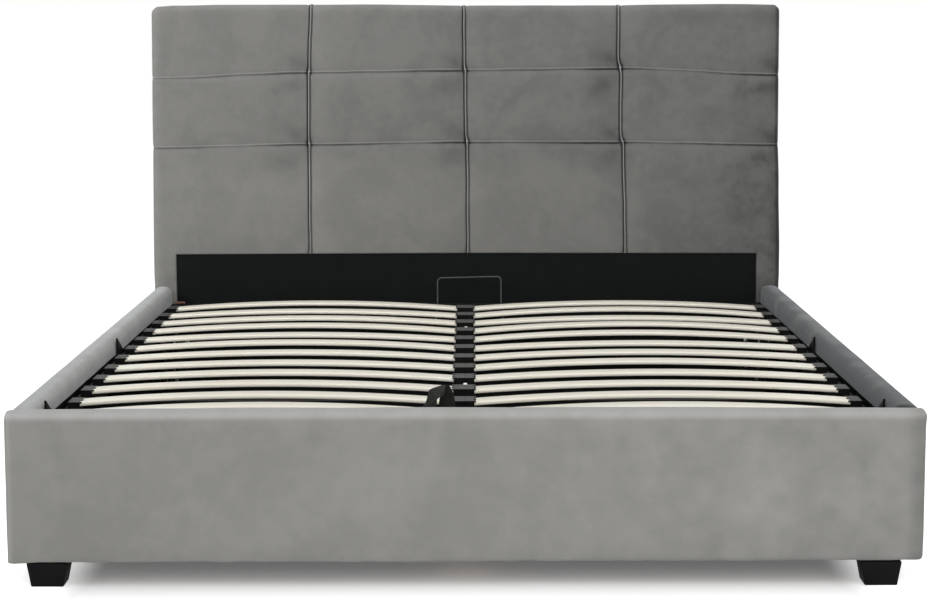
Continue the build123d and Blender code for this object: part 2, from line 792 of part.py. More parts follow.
def make_lift_plates():
    """Steel plates on the side rails that carry the hinge and the foot of each gas strut."""
    eye_outer = strut_x + eye_width / 2
    eye_inner = strut_x - eye_width / 2
    low_lug = (hinge_y + plate_lug_reach, floor_top + plate_low_height)
    with BuildPart() as plates:
        for side in (-1, 1):
            with BuildSketch(side_plane(side, inner_x)) as outline:
                with Locations((-side * hinge_y, hinge_z)):
                    Circle(plate_boss_radius)
                with Locations((-side * stud_y, stud_z)):
                    Circle(plate_foot_radius)
                with Locations((-side * low_lug[0], low_lug[1]), (-side * low_lug[0], hinge_z)):
                    Circle(plate_lug_radius)
                make_hull()
            extrude(amount=plate_thickness)
            with BuildSketch(side_plane(side, plate_face_x)):
                with Locations((-side * hinge_y, hinge_z)):
                    Circle(pivot_head_radius)
            extrude(amount=plate_face_x - tube_outer_x - side_clearance)
            with BuildSketch(side_plane(side, inner_x)):
                with Locations((-side * hinge_y, hinge_z)):
                    Circle(pivot_radius + running_clearance)
            extrude(amount=frame_side_gap, mode=Mode.SUBTRACT)
            stud_end = eye_inner - side_clearance - stud_head_height
            for radius, start_x, end_x in (
                (stud_collar_radius, plate_face_x, eye_outer + side_clearance),
                (stud_radius, eye_outer + side_clearance, stud_end),
                (stud_head_radius, eye_inner - side_clearance, stud_end),
            ):
                with BuildSketch(side_plane(side, start_x)):
                    with Locations((-side * stud_y, stud_z)):
                        Circle(radius)
                extrude(amount=start_x - end_x)
        cut_bolt_holes(rail_bolts(-1) + rail_bolts(1))
    write(plates, "lift_plates")


def make_pivot_bolts():
    """Shoulder bolts that the slat frame turns on."""
    seat_x = tube_inner_x - side_clearance
    with BuildPart() as bolts:
        for side in (-1, 1):
            with BuildSketch(side_plane(side, seat_x)):
                with Locations((-side * hinge_y, hinge_z)):
                    Circle(pivot_head_radius)
            extrude(amount=pivot_head_height)
            with BuildSketch(side_plane(side, inner_x)):
                with Locations((-side * hinge_y, hinge_z)):
                    Circle(pivot_radius)
            extrude(amount=inner_x - seat_x)
    write(bolts, "pivot_bolts")


def strut_plane(side, distance):
    """Plane square to a strut, that far from its lower eye."""
    step_y, step_z = (distance * part for part in strut_direction)
    return Plane(
        origin=(side * strut_x, stud_y + step_y, stud_z + step_z),
        x_dir=(1, 0, 0),
        z_dir=(0, *strut_direction),
    )


def make_gas_cylinder(side, name):
    """Gas cylinder with its lower eye, its bore and the gland that guides the rod."""
    bore_end = cylinder_end - cylinder_cap
    bore_start = cylinder_start + cylinder_cap
    eye_outer = side_plane(side, strut_x + eye_width / 2)
    with BuildPart() as cylinder:
        with BuildSketch(eye_outer):
            with Locations((-side * stud_y, stud_z)):
                Circle(cylinder_radius)
        extrude(amount=eye_width)
        with BuildSketch(strut_plane(side, 0)):
            Rectangle(eye_width, stud_collar_radius)
        extrude(amount=cylinder_start)
        with BuildSketch(strut_plane(side, cylinder_start)):
            Circle(cylinder_radius)
        extrude(amount=cylinder_end - cylinder_start)
        with BuildSketch(strut_plane(side, bore_start)):
            Circle(cylinder_radius - cylinder_wall)
        extrude(amount=bore_end - bore_start, mode=Mode.SUBTRACT)
        with BuildSketch(strut_plane(side, bore_end)):
            Circle(rod_radius + running_clearance)
        extrude(amount=cylinder_cap, mode=Mode.SUBTRACT)
        with BuildSketch(eye_outer):
            with Locations((-side * stud_y, stud_z)):
                Circle(stud_radius + running_clearance)
        extrude(amount=eye_width, mode=Mode.SUBTRACT)
    write(cylinder, f"gas_cylinder_{name}")


def make_gas_rod(side, name):
    """Piston rod whose pin stands in the wide hole of the ear between two flat heads."""
    ear_outer = tube_inner_x + ear_thickness
    eye_start = ear_outer + side_clearance + pin_head_height
    inner_head = tube_inner_x - side_clearance
    with BuildPart() as rod:
        with BuildSketch(strut_plane(side, piston_start)):
            Circle(cylinder_radius - cylinder_wall - running_clearance)
        extrude(amount=piston_length)
        with BuildSketch(strut_plane(side, piston_start)):
            Circle(rod_radius)
        extrude(amount=pin_distance - piston_start)
        for radius, start_x, end_x in (
            (rod_eye_radius, eye_start + rod_eye_width, eye_start),
            (pin_head_radius, eye_start, ear_outer + side_clearance),
            (stud_radius, eye_start, inner_head),
            (pin_head_radius, inner_head, inner_head - pin_head_height),
        ):
            with BuildSketch(side_plane(side, start_x)):
                with Locations((-side * pin_y, pin_z)):
                    Circle(radius)
            extrude(amount=start_x - end_x)
    write(rod, f"gas_rod_{name}")


def main():
    """Make every piece of the bed and write it to the parts folder."""
    os.makedirs("parts", exist_ok=True)
    make_footboard()
    make_headboard_pad()
    make_headboard_frame()
    make_headboard_panel()
    make_headboard_lining()
    make_feet()
    make_floor()
    make_brackets()
    make_frame_tubes()
    make_holders()
    make_stop_bar()
    make_frame_bolts()
    make_guides()
    make_strap()
    make_lift_plates()
    make_pivot_bolts()
    for side, name in ((-1, "left"), (1, "right")):
        make_side_rail(side, name)
        make_side_tube(side, name)
        make_slats(side, name)
        make_gas_cylinder(side, name)
        make_gas_rod(side, name)
    slide_ratio = (open_length - closed_length) / radians(lift_angle)
    print(f"strut closed {closed_length:.2f}, open {open_length:.2f}, trim {rod_trim:.2f}")
    print(f"hinge y {hinge_y:.3f} z {hinge_z:.3f}, stud x {strut_x:.3f} y {stud_y:.4f} z {stud_z:.4f}")
    print(f"strut direction {strut_direction[0]:.8f} {strut_direction[1]:.8f}")
    print(f"rod slide per radian {slide_ratio:.6f}, travel {open_length - closed_length:.4f}")


main()
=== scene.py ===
"""Dresses the upholstered storage bed: velvet, birch slats, holders, steel frame and soft light."""

import logging
import math
from dataclasses import dataclass
from enum import Enum
from functools import lru_cache
from typing import Iterable, Sequence

import bmesh
import bpy
from mathutils import Matrix, Vector, noise


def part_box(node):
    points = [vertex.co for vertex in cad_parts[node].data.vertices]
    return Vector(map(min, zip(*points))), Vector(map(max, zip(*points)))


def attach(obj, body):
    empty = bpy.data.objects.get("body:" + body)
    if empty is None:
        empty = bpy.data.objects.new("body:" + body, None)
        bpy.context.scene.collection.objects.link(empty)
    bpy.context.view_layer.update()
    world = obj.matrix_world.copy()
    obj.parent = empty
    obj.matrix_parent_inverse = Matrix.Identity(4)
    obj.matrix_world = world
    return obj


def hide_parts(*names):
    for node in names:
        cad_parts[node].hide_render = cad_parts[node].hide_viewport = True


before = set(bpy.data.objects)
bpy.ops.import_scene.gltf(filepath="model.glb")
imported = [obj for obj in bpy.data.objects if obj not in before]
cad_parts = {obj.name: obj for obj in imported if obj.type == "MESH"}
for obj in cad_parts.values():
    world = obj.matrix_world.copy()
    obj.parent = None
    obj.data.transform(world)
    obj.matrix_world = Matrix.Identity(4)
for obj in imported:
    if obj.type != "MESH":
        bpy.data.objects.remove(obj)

LOG = logging.getLogger("storage_bed")
SHARP_ANGLE = 35.0
X_AXIS, Y_AXIS, Z_AXIS = Vector((1, 0, 0)), Vector((0, 1, 0)), Vector((0, 0, 1))

Colour = tuple[float, float, float]
Pair = tuple[float, float]
Triple = tuple[float, float, float]
Knots = tuple[Pair, ...]
Mesh = bmesh.types.BMesh
Piece = bpy.types.Object
Socket = bpy.types.NodeSocket
Value = float | tuple[float, ...] | bpy.types.NodeSocket


class Side(Enum):
    """The two long sides of the bed, seen from its foot end."""

    LEFT = -1
    RIGHT = 1

    @property
    def label(self) -> str:
        """The side's word in the names of nodes and pieces."""
        return self.name.lower()


class Body(Enum):
    """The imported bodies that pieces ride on."""

    BASE = "base"
    SLAT_FRAME = "slat_frame"
    STRUT_LEFT = "strut_left"
    STRUT_RIGHT = "strut_right"
    ROD_LEFT = "rod_left"
    ROD_RIGHT = "rod_right"


class Slot(Enum):
    """The record's material slots."""

    VELVET = "velvet"
    LINING = "dark_lining"
    TIMBER = "timber"
    BIRCH = "birch"
    HOLDER = "holder_plastic"
    FRAME = "frame_black"
    FOOT = "foot_black"
    WEBBING = "webbing"
    STEEL = "bright_steel"


# ---------------------------------------------------------------- shader trees


class Tree:
    """A shader tree whose nodes are added with their values and links."""

    def __init__(self, tree: bpy.types.NodeTree) -> None:
        """Keeps the tree at hand.

        Args:
            tree: The tree to add to.
        """
        self.tree = tree

    def feed(self, socket: Socket, value: Value) -> None:
        """Links an input to a socket, or sets it to a value."""
        if isinstance(value, bpy.types.NodeSocket):
            self.tree.links.new(value, socket)
        else:
            socket.default_value = value

    def add(self, kind: str, inputs: dict[str | int, Value] | None = None, **settings: object) -> bpy.types.Node:
        """Adds a node.

        Args:
            kind: Its type, without the prefix of all shader nodes.
            inputs: What its inputs hold, by name or number.
            settings: Its own properties.

        Returns:
            The node.
        """
        node = self.tree.nodes.new(f"ShaderNode{kind}")
        for name, value in settings.items():
            setattr(node, name, value)
        for name, value in (inputs or {}).items():
            self.feed(node.inputs[name], value)
        return node

    def noise(self, place: Socket, **inputs: Value) -> Socket:
        """Cloudy noise at a place."""
        return self.add("TexNoise", {"Vector": place, **inputs}).outputs["Fac"]

    def blend(self, share: float, first: Socket, second: Socket) -> Socket:
        """Two values mixed by a fixed share."""
        return self.add("Mix", {"Factor": share, "A": first, "B": second}).outputs["Result"]

    def math(self, operation: str, first: Value, second: Value, clamp: bool = False) -> Socket:
        """Two values joined by an operation."""
        return self.add("Math", {0: first, 1: second}, operation=operation, use_clamp=clamp).outputs["Value"]

    def spread(self, mask: Socket, low: float = 0.0, high: float = 1.0, start: float = 0.0, end: float = 1.0,
               curve: str = "LINEAR") -> Socket:
        """Maps a mask to another range.

        Args:
            mask: The mask.
            low: Result where the range starts.
            high: Result where the range ends.
            start: Start of the mask's range.
            end: End of the mask's range.
            curve: How the result runs between them.

        Returns:
            The mapped value.
        """
        inputs = {"Value": mask, "From Min": start, "From Max": end, "To Min": low, "To Max": high}
        return self.add("MapRange", inputs, interpolation_type=curve).outputs["Result"]

    def mix(self, mask: Socket, below: Socket | Colour, above: Socket | Colour, mode: str = "MIX") -> Socket:
        """Mixes two colours.

        Args:
            mask: The share of the second colour.
            below: The first colour.
            above: The second colour.
            mode: How the second is laid over the first.

        Returns:
            The mixed colour.
        """
        node = self.add("Mix", {"Factor": mask}, data_type="RGBA", blend_type=mode)
        for socket, colour in zip((s for s in node.inputs if s.type == "RGBA"), (below, above)):
            self.feed(socket, (*colour, 1) if isinstance(colour, tuple) else colour)
        return next(s for s in node.outputs if s.type == "RGBA")

    def seen_rays(self) -> Socket:
        """1 for camera, glossy and transmission rays, and 0 for others."""
        path = self.add("LightPath").outputs
        glossy = self.math("MAXIMUM", path["Is Camera Ray"], path["Is Glossy Ray"])
        return self.math("MAXIMUM", glossy, path["Is Transmission Ray"])


class Group(Tree):
    """A shared node group around a place on the piece."""

    def __init__(self, name: str, outputs: Sequence[str], **inputs: float | tuple[float, ...]) -> None:
        """Makes the group with its sockets.

        Args:
            name: The group's name.
            outputs: Names of its outputs.
            inputs: Its inputs with their usual values.
        """
        super().__init__(bpy.data.node_groups.new(name, "ShaderNodeTree"))
        for output in outputs:
            self.tree.interface.new_socket(output, in_out="OUTPUT", socket_type="NodeSocketFloat")
        for label, value in inputs.items():
            kind = "NodeSocketVector" if isinstance(value, tuple) else "NodeSocketFloat"
            self.tree.interface.new_socket(label, in_out="INPUT", socket_type=kind).default_value = value
        self.entry = self.tree.nodes.new("NodeGroupInput").outputs
        self.leave = self.tree.nodes.new("NodeGroupOutput").inputs
        self.place = self.add("TexCoord").outputs

    def close(self, **outputs: Socket) -> bpy.types.NodeTree:
        """Feeds the outputs and hands over the group's tree."""
        for name, socket in outputs.items():
            self.feed(self.leave[name], socket)
        return self.tree


@lru_cache(maxsize=None)
def cloud_group() -> bpy.types.NodeTree:
    """Soft patches of two sizes that follow the object.

    Returns:
        The shared group with a Mask output.
    """
    group = Group("soft_clouds", ("Mask",), Broad=3.0, Fine=14.0)
    place = group.place["Object"]
    broad = group.noise(place, Scale=group.entry["Broad"], Detail=3.0, Distortion=0.8)
    fine = group.noise(place, Scale=group.entry["Fine"], Detail=4.0, Distortion=0.4)
    patches = group.blend(0.35, broad, fine)
    return group.close(Mask=group.spread(patches, start=0.36, end=0.64, curve="SMOOTHSTEP"))


@lru_cache(maxsize=None)
def grain_group() -> bpy.types.NodeTree:
    """Wood grain that runs along X, with pores and slow waves.

    Returns:
        The shared group with Mask and Height outputs.
    """
    group = Group("long_grain", ("Mask", "Height"), Stretch=(2.2, 70.0, 70.0))
    stretch = group.add("VectorMath", {0: group.place["Object"], 1: group.entry["Stretch"]}, operation="MULTIPLY")
    rings = group.noise(stretch.outputs["Vector"], Scale=1.0, Detail=5.0, Distortion=0.6)
    pores = group.noise(stretch.outputs["Vector"], Scale=6.0, Detail=2.0)
    return group.close(Mask=group.spread(group.blend(0.3, rings, pores), start=0.32, end=0.68), Height=pores)


@lru_cache(maxsize=None)
def weave_group() -> bpy.types.NodeTree:
    """Plain weave of crossing threads, on the piece's own UV map.

    Returns:
        The shared group with a Height output, and Threads across one unit of UV as input.
    """
    group = Group("plain_weave", ("Height",), Threads=40.0)
    inputs = {"Vector": group.place["UV"], "Scale": group.entry["Threads"], "Distortion": 0.6, "Detail Scale": 4.0}
    waves = (group.add("TexWave", inputs, bands_direction=direction).outputs["Fac"] for direction in "XY")
    return group.close(Height=group.math("MAXIMUM", *waves))


@lru_cache(maxsize=None)
def speckle_group() -> bpy.types.NodeTree:
    """Fine even texture of a moulded, sprayed or brushed skin.

    Returns:
        The shared group with Mask and Height outputs, and Scale as input.
    """
    group = Group("fine_speckle", ("Mask", "Height"), Scale=900.0)
    place = group.place["Object"]
    return group.close(Mask=group.noise(place, Scale=22.0, Detail=3.0),
                       Height=group.noise(place, Scale=group.entry["Scale"], Detail=2.0))


class Paint(Tree):
    """One material's tree around a Principled shader."""

    def __init__(self, name: str) -> None:
        """Makes the material.

        Args:
            name: The material's name.
        """
        self.material = bpy.data.materials.new(name)
        self.material.use_nodes = True
        super().__init__(self.material.node_tree)

    def group(self, tree: bpy.types.NodeTree, **inputs: Value) -> bpy.types.NodeOutputs:
        """Outputs of a shared group that is fed with values."""
        return self.add("Group", inputs, node_tree=tree).outputs

    def attribute(self, name: str) -> Socket:
        """A value that the piece's vertices hold, or 0 where it has none."""
        return self.add("Attribute", attribute_name=name).outputs["Fac"]

    def ramp(self, mask: Socket, stops: Sequence[tuple[float, Colour]]) -> Socket:
        """Colour from several stops along a mask.

        Args:
            mask: The mask.
            stops: Places from 0 to 1 with their colours, in order.

        Returns:
            The colour.
        """
        node = self.add("ValToRGB", {"Fac": mask})
        elements = node.color_ramp.elements
        for place, _ in stops[1:-1]:
            elements.new(place)
        for element, (place, colour) in zip(elements, stops):
            element.position, element.color = place, (*colour, 1)
        return node.outputs["Color"]

    def finish(self, colour: Socket, roughness: Socket, height: Socket, strength: float, depth: float,
               **values: float | tuple[float, ...]) -> bpy.types.Material:
        """Feeds the shader.

        Args:
            colour: The base colour.
            roughness: The roughness.
            height: Height of the bump.
            strength: Strength of the bump.
            depth: Depth of the bump in metres.
            values: Other inputs, with underscores for spaces.

        Returns:
            The finished material.
        """
        bump = self.add("Bump", {"Height": height, "Strength": strength, "Distance": depth})
        inputs = {"Base_Color": colour, "Roughness": roughness, "Normal": bump.outputs["Normal"], **values}
        for name, value in inputs.items():
            self.feed(self.tree.nodes["Principled BSDF"].inputs[name.replace("_", " ")], value)
        return self.material


# ------------------------------------------------------------------- finishes


@dataclass(frozen=True)
class Velvet:
    """Short grey velvet with soft streaks; each piece paints light and shade into its colour."""

    shades: tuple[tuple[float, Colour], ...] = (
        (0.0, (0.030, 0.031, 0.030)), (0.15, (0.127, 0.127, 0.122)), (0.55, (0.305, 0.300, 0.283)),
        (1.0, (0.490, 0.500, 0.505)))
    streak: float = 0.030
    sheen: float = 0.28
    slot: Slot = Slot.VELVET

    @lru_cache(maxsize=None)
    def material(self) -> bpy.types.Material:
        """The velvet's material; its colour follows the piece's attribute of tone with painted light and shade."""
        paint = Paint("grey_velvet")
        clouds = paint.group(cloud_group(), Broad=8.0, Fine=44.0)["Mask"]
        fibres = paint.group(speckle_group(), Scale=1500.0)["Height"]
        streaks = paint.spread(clouds, -self.streak, self.streak)
        # The attribute adds painted light and shade, with random mottle, to the velvet's colour.
        shade = paint.math("ADD", paint.attribute("nap"), streaks, clamp=True)
        return paint.finish(paint.ramp(shade, self.shades), paint.spread(clouds, 0.86, 0.8), fibres, 0.3, 0.0006,
                            Sheen_Weight=self.sheen, Sheen_Roughness=0.45, Sheen_Tint=(0.92, 0.96, 1.0, 1.0),
                            Specular_IOR_Level=0.15)


@dataclass(frozen=True)
class Birch:
    """Pale lacquered birch ply, with its layers on the long edges."""

    light: Colour = (0.87, 0.838, 0.74)
    dark: Colour = (0.80, 0.768, 0.66)
    warmth: Colour = (1.0, 0.985, 0.965)
    glue_line: Colour = (0.68, 0.61, 0.49)
    slot: Slot = Slot.BIRCH

    @lru_cache(maxsize=None)
    def material(self) -> bpy.types.Material:
        """The birch's material; its layers follow the piece's ply attribute."""
        paint = Paint("pale_birch")
        grain = paint.group(grain_group(), Stretch=(1.8, 85.0, 40.0))
        clouds = paint.group(cloud_group(), Broad=3.5, Fine=9.0)["Mask"]
        plain = paint.mix(grain["Mask"], self.dark, self.light)
        warmed = paint.mix(clouds, plain, self.warmth, "MULTIPLY")
        layered = paint.mix(paint.attribute("ply"), warmed, self.glue_line)
        return paint.finish(layered, paint.spread(grain["Mask"], 0.5, 0.38), grain["Height"], 0.2, 0.0004,
                            Coat_Weight=0.15, Coat_Roughness=0.35)


@dataclass(frozen=True)
class Moulded:
    """Matt plastic, metal or sprayed paint with a fine even skin."""

    name: str
    slot: Slot
    dark: Colour
    light: Colour
    smooth: float
    rough: float
    skin_scale: float = 900.0
    skin_depth: float = 0.0002
    metallic: float = 0.0
    gloss: float = 0.5
    # Lighter colour that paints light falling on the top faces.
    painted_top_light: Colour = (0.098, 0.098, 0.094)

    @lru_cache(maxsize=None)
    def material(self) -> bpy.types.Material:
        """The skin's material; a lighter colour, mixed in where the piece's attribute says, paints light on its top
        faces.
        """
        paint = Paint(self.name)
        skin = paint.group(speckle_group(), Scale=self.skin_scale)
        # The attribute mixes in the lighter colour as painted light.
        colour = paint.mix(paint.attribute("painted_top_light"), paint.mix(skin["Mask"], self.dark, self.light), self.painted_top_light)
        roughness = paint.spread(skin["Mask"], self.smooth, self.rough)
        return paint.finish(colour, roughness, skin["Height"], 0.3, self.skin_depth,
                            Metallic=self.metallic, Specular_IOR_Level=self.gloss)


@dataclass(frozen=True)
class Timber:
    """Raw softwood of the hidden frame, with its grain along the piece."""

    name: str = "raw_softwood"
    light: Colour = (0.60, 0.43, 0.27)
    dark: Colour = (0.42, 0.27, 0.15)
    stretch: Triple = (3.0, 60.0, 60.0)
    slot: Slot = Slot.TIMBER

    @lru_cache(maxsize=None)
    def material(self) -> bpy.types.Material:
        """The timber's material."""
        paint = Paint(self.name)
        grain = paint.group(grain_group(), Stretch=self.stretch)
        return paint.finish(paint.mix(grain["Mask"], self.dark, self.light), paint.spread(grain["Mask"], 0.8, 0.65),
                            grain["Height"], 0.3, 0.0006)


@dataclass(frozen=True)
class Cloth:
    """Thin dark woven cloth or webbing on a UV map."""

    name: str
    slot: Slot
    dark: Colour
    light: Colour
    threads: float
    depth: float

    @lru_cache(maxsize=None)
    def material(self) -> bpy.types.Material:
        """The cloth's material."""
        paint = Paint(self.name)
        weave = paint.group(weave_group(), Threads=self.threads)["Height"]
        clouds = paint.group(cloud_group(), Broad=6.0, Fine=40.0)["Mask"]
        return paint.finish(paint.mix(clouds, self.dark, self.light), paint.spread(weave, 0.9, 0.7), weave, 0.6,
                            self.depth, Sheen_Weight=0.05, Sheen_Roughness=0.5, Specular_IOR_Level=0.15)


def grey(shade: float) -> Colour:
    """A neutral colour."""
    return shade, shade, shade


VELVET = Velvet()
BIRCH = Birch()
TIMBER = Timber()
RED_TIMBER = Timber("reddish_softwood", (0.26, 0.12, 0.08), (0.16, 0.07, 0.05), (60.0, 60.0, 3.0))
HOLDER_PLASTIC = Moulded("holder_plastic", Slot.HOLDER, grey(0.004), grey(0.006), 0.40, 0.50, gloss=0.06)
POWDER_COAT = Moulded("frame_powder_coat", Slot.FRAME, grey(0.006), grey(0.010), 0.5, 0.65, 2200.0, 0.0003, gloss=0.08)
WIRE_COAT = Moulded("wire_coat", Slot.FRAME, (0.046, 0.049, 0.049), (0.066, 0.069, 0.069), 0.4, 0.55, 1500.0, 0.0001,
                    gloss=0.3)
FOOT_PLASTIC = Moulded("foot_satin_black", Slot.FOOT, grey(0.004), grey(0.006), 0.6, 0.7, 700.0, gloss=0.06)
ZINC = Moulded("bright_zinc", Slot.STEEL, (0.62, 0.62, 0.60), (0.78, 0.78, 0.76), 0.22, 0.38, 300.0, 0.0001, 1.0)
CHROME = Moulded("ground_rod", Slot.STEEL, grey(0.26), grey(0.36), 0.2, 0.3, 2500.0, 0.00003, 1.0)
LINING = Moulded("black_lining", Slot.LINING, (0.0088, 0.0098, 0.0098), (0.0120, 0.0134, 0.0134), 0.9, 0.98, 2600.0,
                 0.0005, gloss=0.0)
THREAD = Moulded("dark_thread", Slot.WEBBING, grey(0.05), grey(0.08), 0.6, 0.8, 1200.0, 0.0003)
WEBBING = Cloth("black_webbing", Slot.WEBBING, (0.008, 0.008, 0.007), (0.014, 0.014, 0.012), 14.0, 0.0008)
Finish = Velvet | Birch | Moulded | Timber | Cloth


# ------------------------------------------------------------- mesh operators


def block(mesh: Mesh, corner: Vector, opposite: Vector) -> list[bmesh.types.BMVert]:
    """Adds a box between two opposite corners.

    Args:
        mesh: The mesh to add to.
        corner: One corner.
        opposite: The corner furthest from it.

    Returns:
        The box's eight vertices.
    """
    low, high = (Vector([pick(pair) for pair in zip(corner, opposite)]) for pick in (min, max))
    place = Matrix.Translation((low + high) / 2) @ Matrix.Diagonal((*(high - low), 1))
    return bmesh.ops.create_cube(mesh, size=1, matrix=place)["verts"]


def round_edges(mesh: Mesh, edges: Iterable[bmesh.types.BMEdge], radius: float, segments: int = 2) -> None:
    """Bevels edges with a round profile.

    Args:
        mesh: The mesh that has the edges.
        edges: The edges to round.
        radius: Offset of the bevel.
        segments: Facets across the rounding.
    """
    bmesh.ops.bevel(mesh, geom=list(edges), offset=radius, offset_type="OFFSET", segments=segments,
                    profile=0.5, affect="EDGES", clamp_overlap=True, material=-1)


def rounded_block(mesh: Mesh, corner: Vector, opposite: Vector, radius: float, segments: int = 2) -> None:
    """Adds a box with all its edges rounded.

    Args:
        mesh: The mesh to add to.
        corner: One corner.
        opposite: The corner furthest from it.
        radius: Radius of every edge.
        segments: Facets across each rounding.
    """
    corners = block(mesh, corner, opposite)
    round_edges(mesh, {edge for vertex in corners for edge in vertex.link_edges}, radius, segments)


def only(items: Iterable[object], kind: type) -> list:
    """The items of one kind, since operators hand back vertices, edges and faces together."""
    return [item for item in items if isinstance(item, kind)]


def plate(mesh: Mesh, outline: Iterable[Sequence[float]], through: Vector, radius: float, segments: int) -> None:
    """Adds a plate with an outline, and rounds the edges of its second face.

    Args:
        mesh: The mesh to add to.
        outline: Corners of its first face.
        through: From its first face to its second.
        radius: Radius of the edges.
        segments: Facets across each rounding.
    """
    face = mesh.faces.new([mesh.verts.new(corner) for corner in outline])
    made = bmesh.ops.extrude_face_region(mesh, geom=[face])["geom"]
    bmesh.ops.translate(mesh, verts=only(made, bmesh.types.BMVert), vec=through)
    round_edges(mesh, only(made, bmesh.types.BMFace)[0].edges, radius, segments)


def cut_lines(mesh: Mesh, axis: Vector, places: Iterable[float]) -> None:
    """Adds edge loops square to an axis.

    Args:
        mesh: The mesh to cut.
        axis: Unit vector of the axis.
        places: Distances along the axis.
    """
    for place in places:
        geometry = [*mesh.verts, *mesh.edges, *mesh.faces]
        bmesh.ops.bisect_plane(mesh, geom=geometry, dist=1e-6, plane_co=axis * place, plane_no=axis)


def spaced(stops: Sequence[float], step: float) -> list[float]:
    """Sorted stops with even lines put between those that lie further apart than a step.

    Args:
        stops: The places that must be there.
        step: Greatest distance between two lines.

    Returns:
        All the places in order.
    """
    ordered = sorted(set(stops))
    lines = [ordered[0]]
    for start, end in zip(ordered, ordered[1:]):
        count = max(1, math.ceil((end - start) / step))
        lines += [start + (end - start) * share / count for share in range(1, count + 1)]
    return lines


def smooth_share(value: float, start: float, end: float) -> float:
    """Smooth step from 0 at start to 1 at end."""
    share = min(1.0, max(0.0, (value - start) / (end - start)))
    return share * share * (3 - 2 * share)


def bell(distance: float, width: float) -> float:
    """Bell curve of height 1 that falls to about a third at one width."""
    return math.exp(-((distance / width) ** 2))


def hump(distance: float, size: Pair) -> float:
    """Bell curve with a height and a width."""
    return size[0] * bell(distance, size[1])


def quarter(radius: float, gap: float) -> float:
    """How far a rounded border lies back at a distance from the edge."""
    if gap >= radius:
        return 0.0
    return radius - math.sqrt(max(0.0, radius ** 2 - (radius - gap) ** 2))


def ripple(x: float, y: float, z: float) -> float:
    """Smooth noise at a place."""
    return noise.noise(Vector((x, y, z)))


def along(knots: Sequence[Pair], place: float) -> float:
    """Smooth value between given knots.

    Args:
        knots: Pairs of place and value, in order.
        place: Where the value is wanted.

    Returns:
        The value there, held flat beyond the ends.
    """
    if place <= knots[0][0]:
        return knots[0][1]
    for (start, first), (end, last) in zip(knots, knots[1:]):
        if place <= end:
            return first + (last - first) * smooth_share(place, start, end)
    return knots[-1][1]


def put(name: str, data: bpy.types.ID, place: Matrix) -> Piece:
    """Puts an object of some data in the scene.

    Args:
        name: The object's name.
        data: Its mesh, lamp or camera.
        place: Where it stands.

    Returns:
        The new object.
    """
    piece = bpy.data.objects.new(name, data)
    bpy.context.scene.collection.objects.link(piece)
    piece.matrix_world = place
    return piece


def place_piece(
    name: str, mesh: Mesh, finish: Finish, body: Body, replaces: Sequence[str] = (), crease: float = 40.0
) -> Piece:
    """Makes a finished piece of a mesh and puts it on its body.

    Args:
        name: The piece's name.
        mesh: Its mesh, which is used up.
        finish: Its finish.
        body: The body it rides on.
        replaces: CAD nodes that it stands for.
        crease: Angle in degrees above which an edge stays sharp.

    Returns:
        The new object.
    """
    bmesh.ops.recalc_face_normals(mesh, faces=mesh.faces)
    data = bpy.data.meshes.new(name)
    mesh.to_mesh(data)
    mesh.free()
    data.shade_smooth()
    data.set_sharp_from_angle(angle=math.radians(crease))
    data.materials.append(finish.material())
    piece = put(name, data, Matrix.Identity(4))
    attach(piece, body.value)
    if replaces:
        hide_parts(*replaces)
    LOG.info("%s: %d faces on %s", name, len(data.polygons), body.value)
    return piece


def node_mesh(node: str, radius: float, segments: int = 2) -> Mesh:
    """Copies a CAD node's mesh, joins its triangles and rounds its sharp edges.

    Args:
        node: The CAD node.
        radius: Radius of the rounded edges.
        segments: Facets across each rounding.

    Returns:
        The mesh.
    """
    mesh = bmesh.new()
    mesh.from_mesh(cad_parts[node].data)
    bmesh.ops.remove_doubles(mesh, verts=mesh.verts, dist=1e-6)
    bmesh.ops.dissolve_limit(mesh, angle_limit=math.radians(1.0), verts=mesh.verts, edges=mesh.edges,
                             use_dissolve_boundaries=False)
    limit = math.radians(SHARP_ANGLE)
    edges = [edge for edge in mesh.edges if len(edge.link_faces) == 2 and edge.calc_face_angle(0) > limit]
    round_edges(mesh, edges, radius, segments)
    return mesh


def dress_node(node: str, name: str, finish: Finish, body: Body, radius: float) -> Piece:
    """Gives a CAD node rounded edges and a finish.

    Args:
        node: The CAD node that the piece stands for.
        name: The piece's name.
        finish: Its finish.
        body: The body it rides on.
        radius: Radius of the rounded edges.

    Returns:
        The new object.
    """
    return place_piece(name, node_mesh(node, radius), finish, body, (node,), 35.0)


# ------------------------------------------------------------------ sub-assemblies


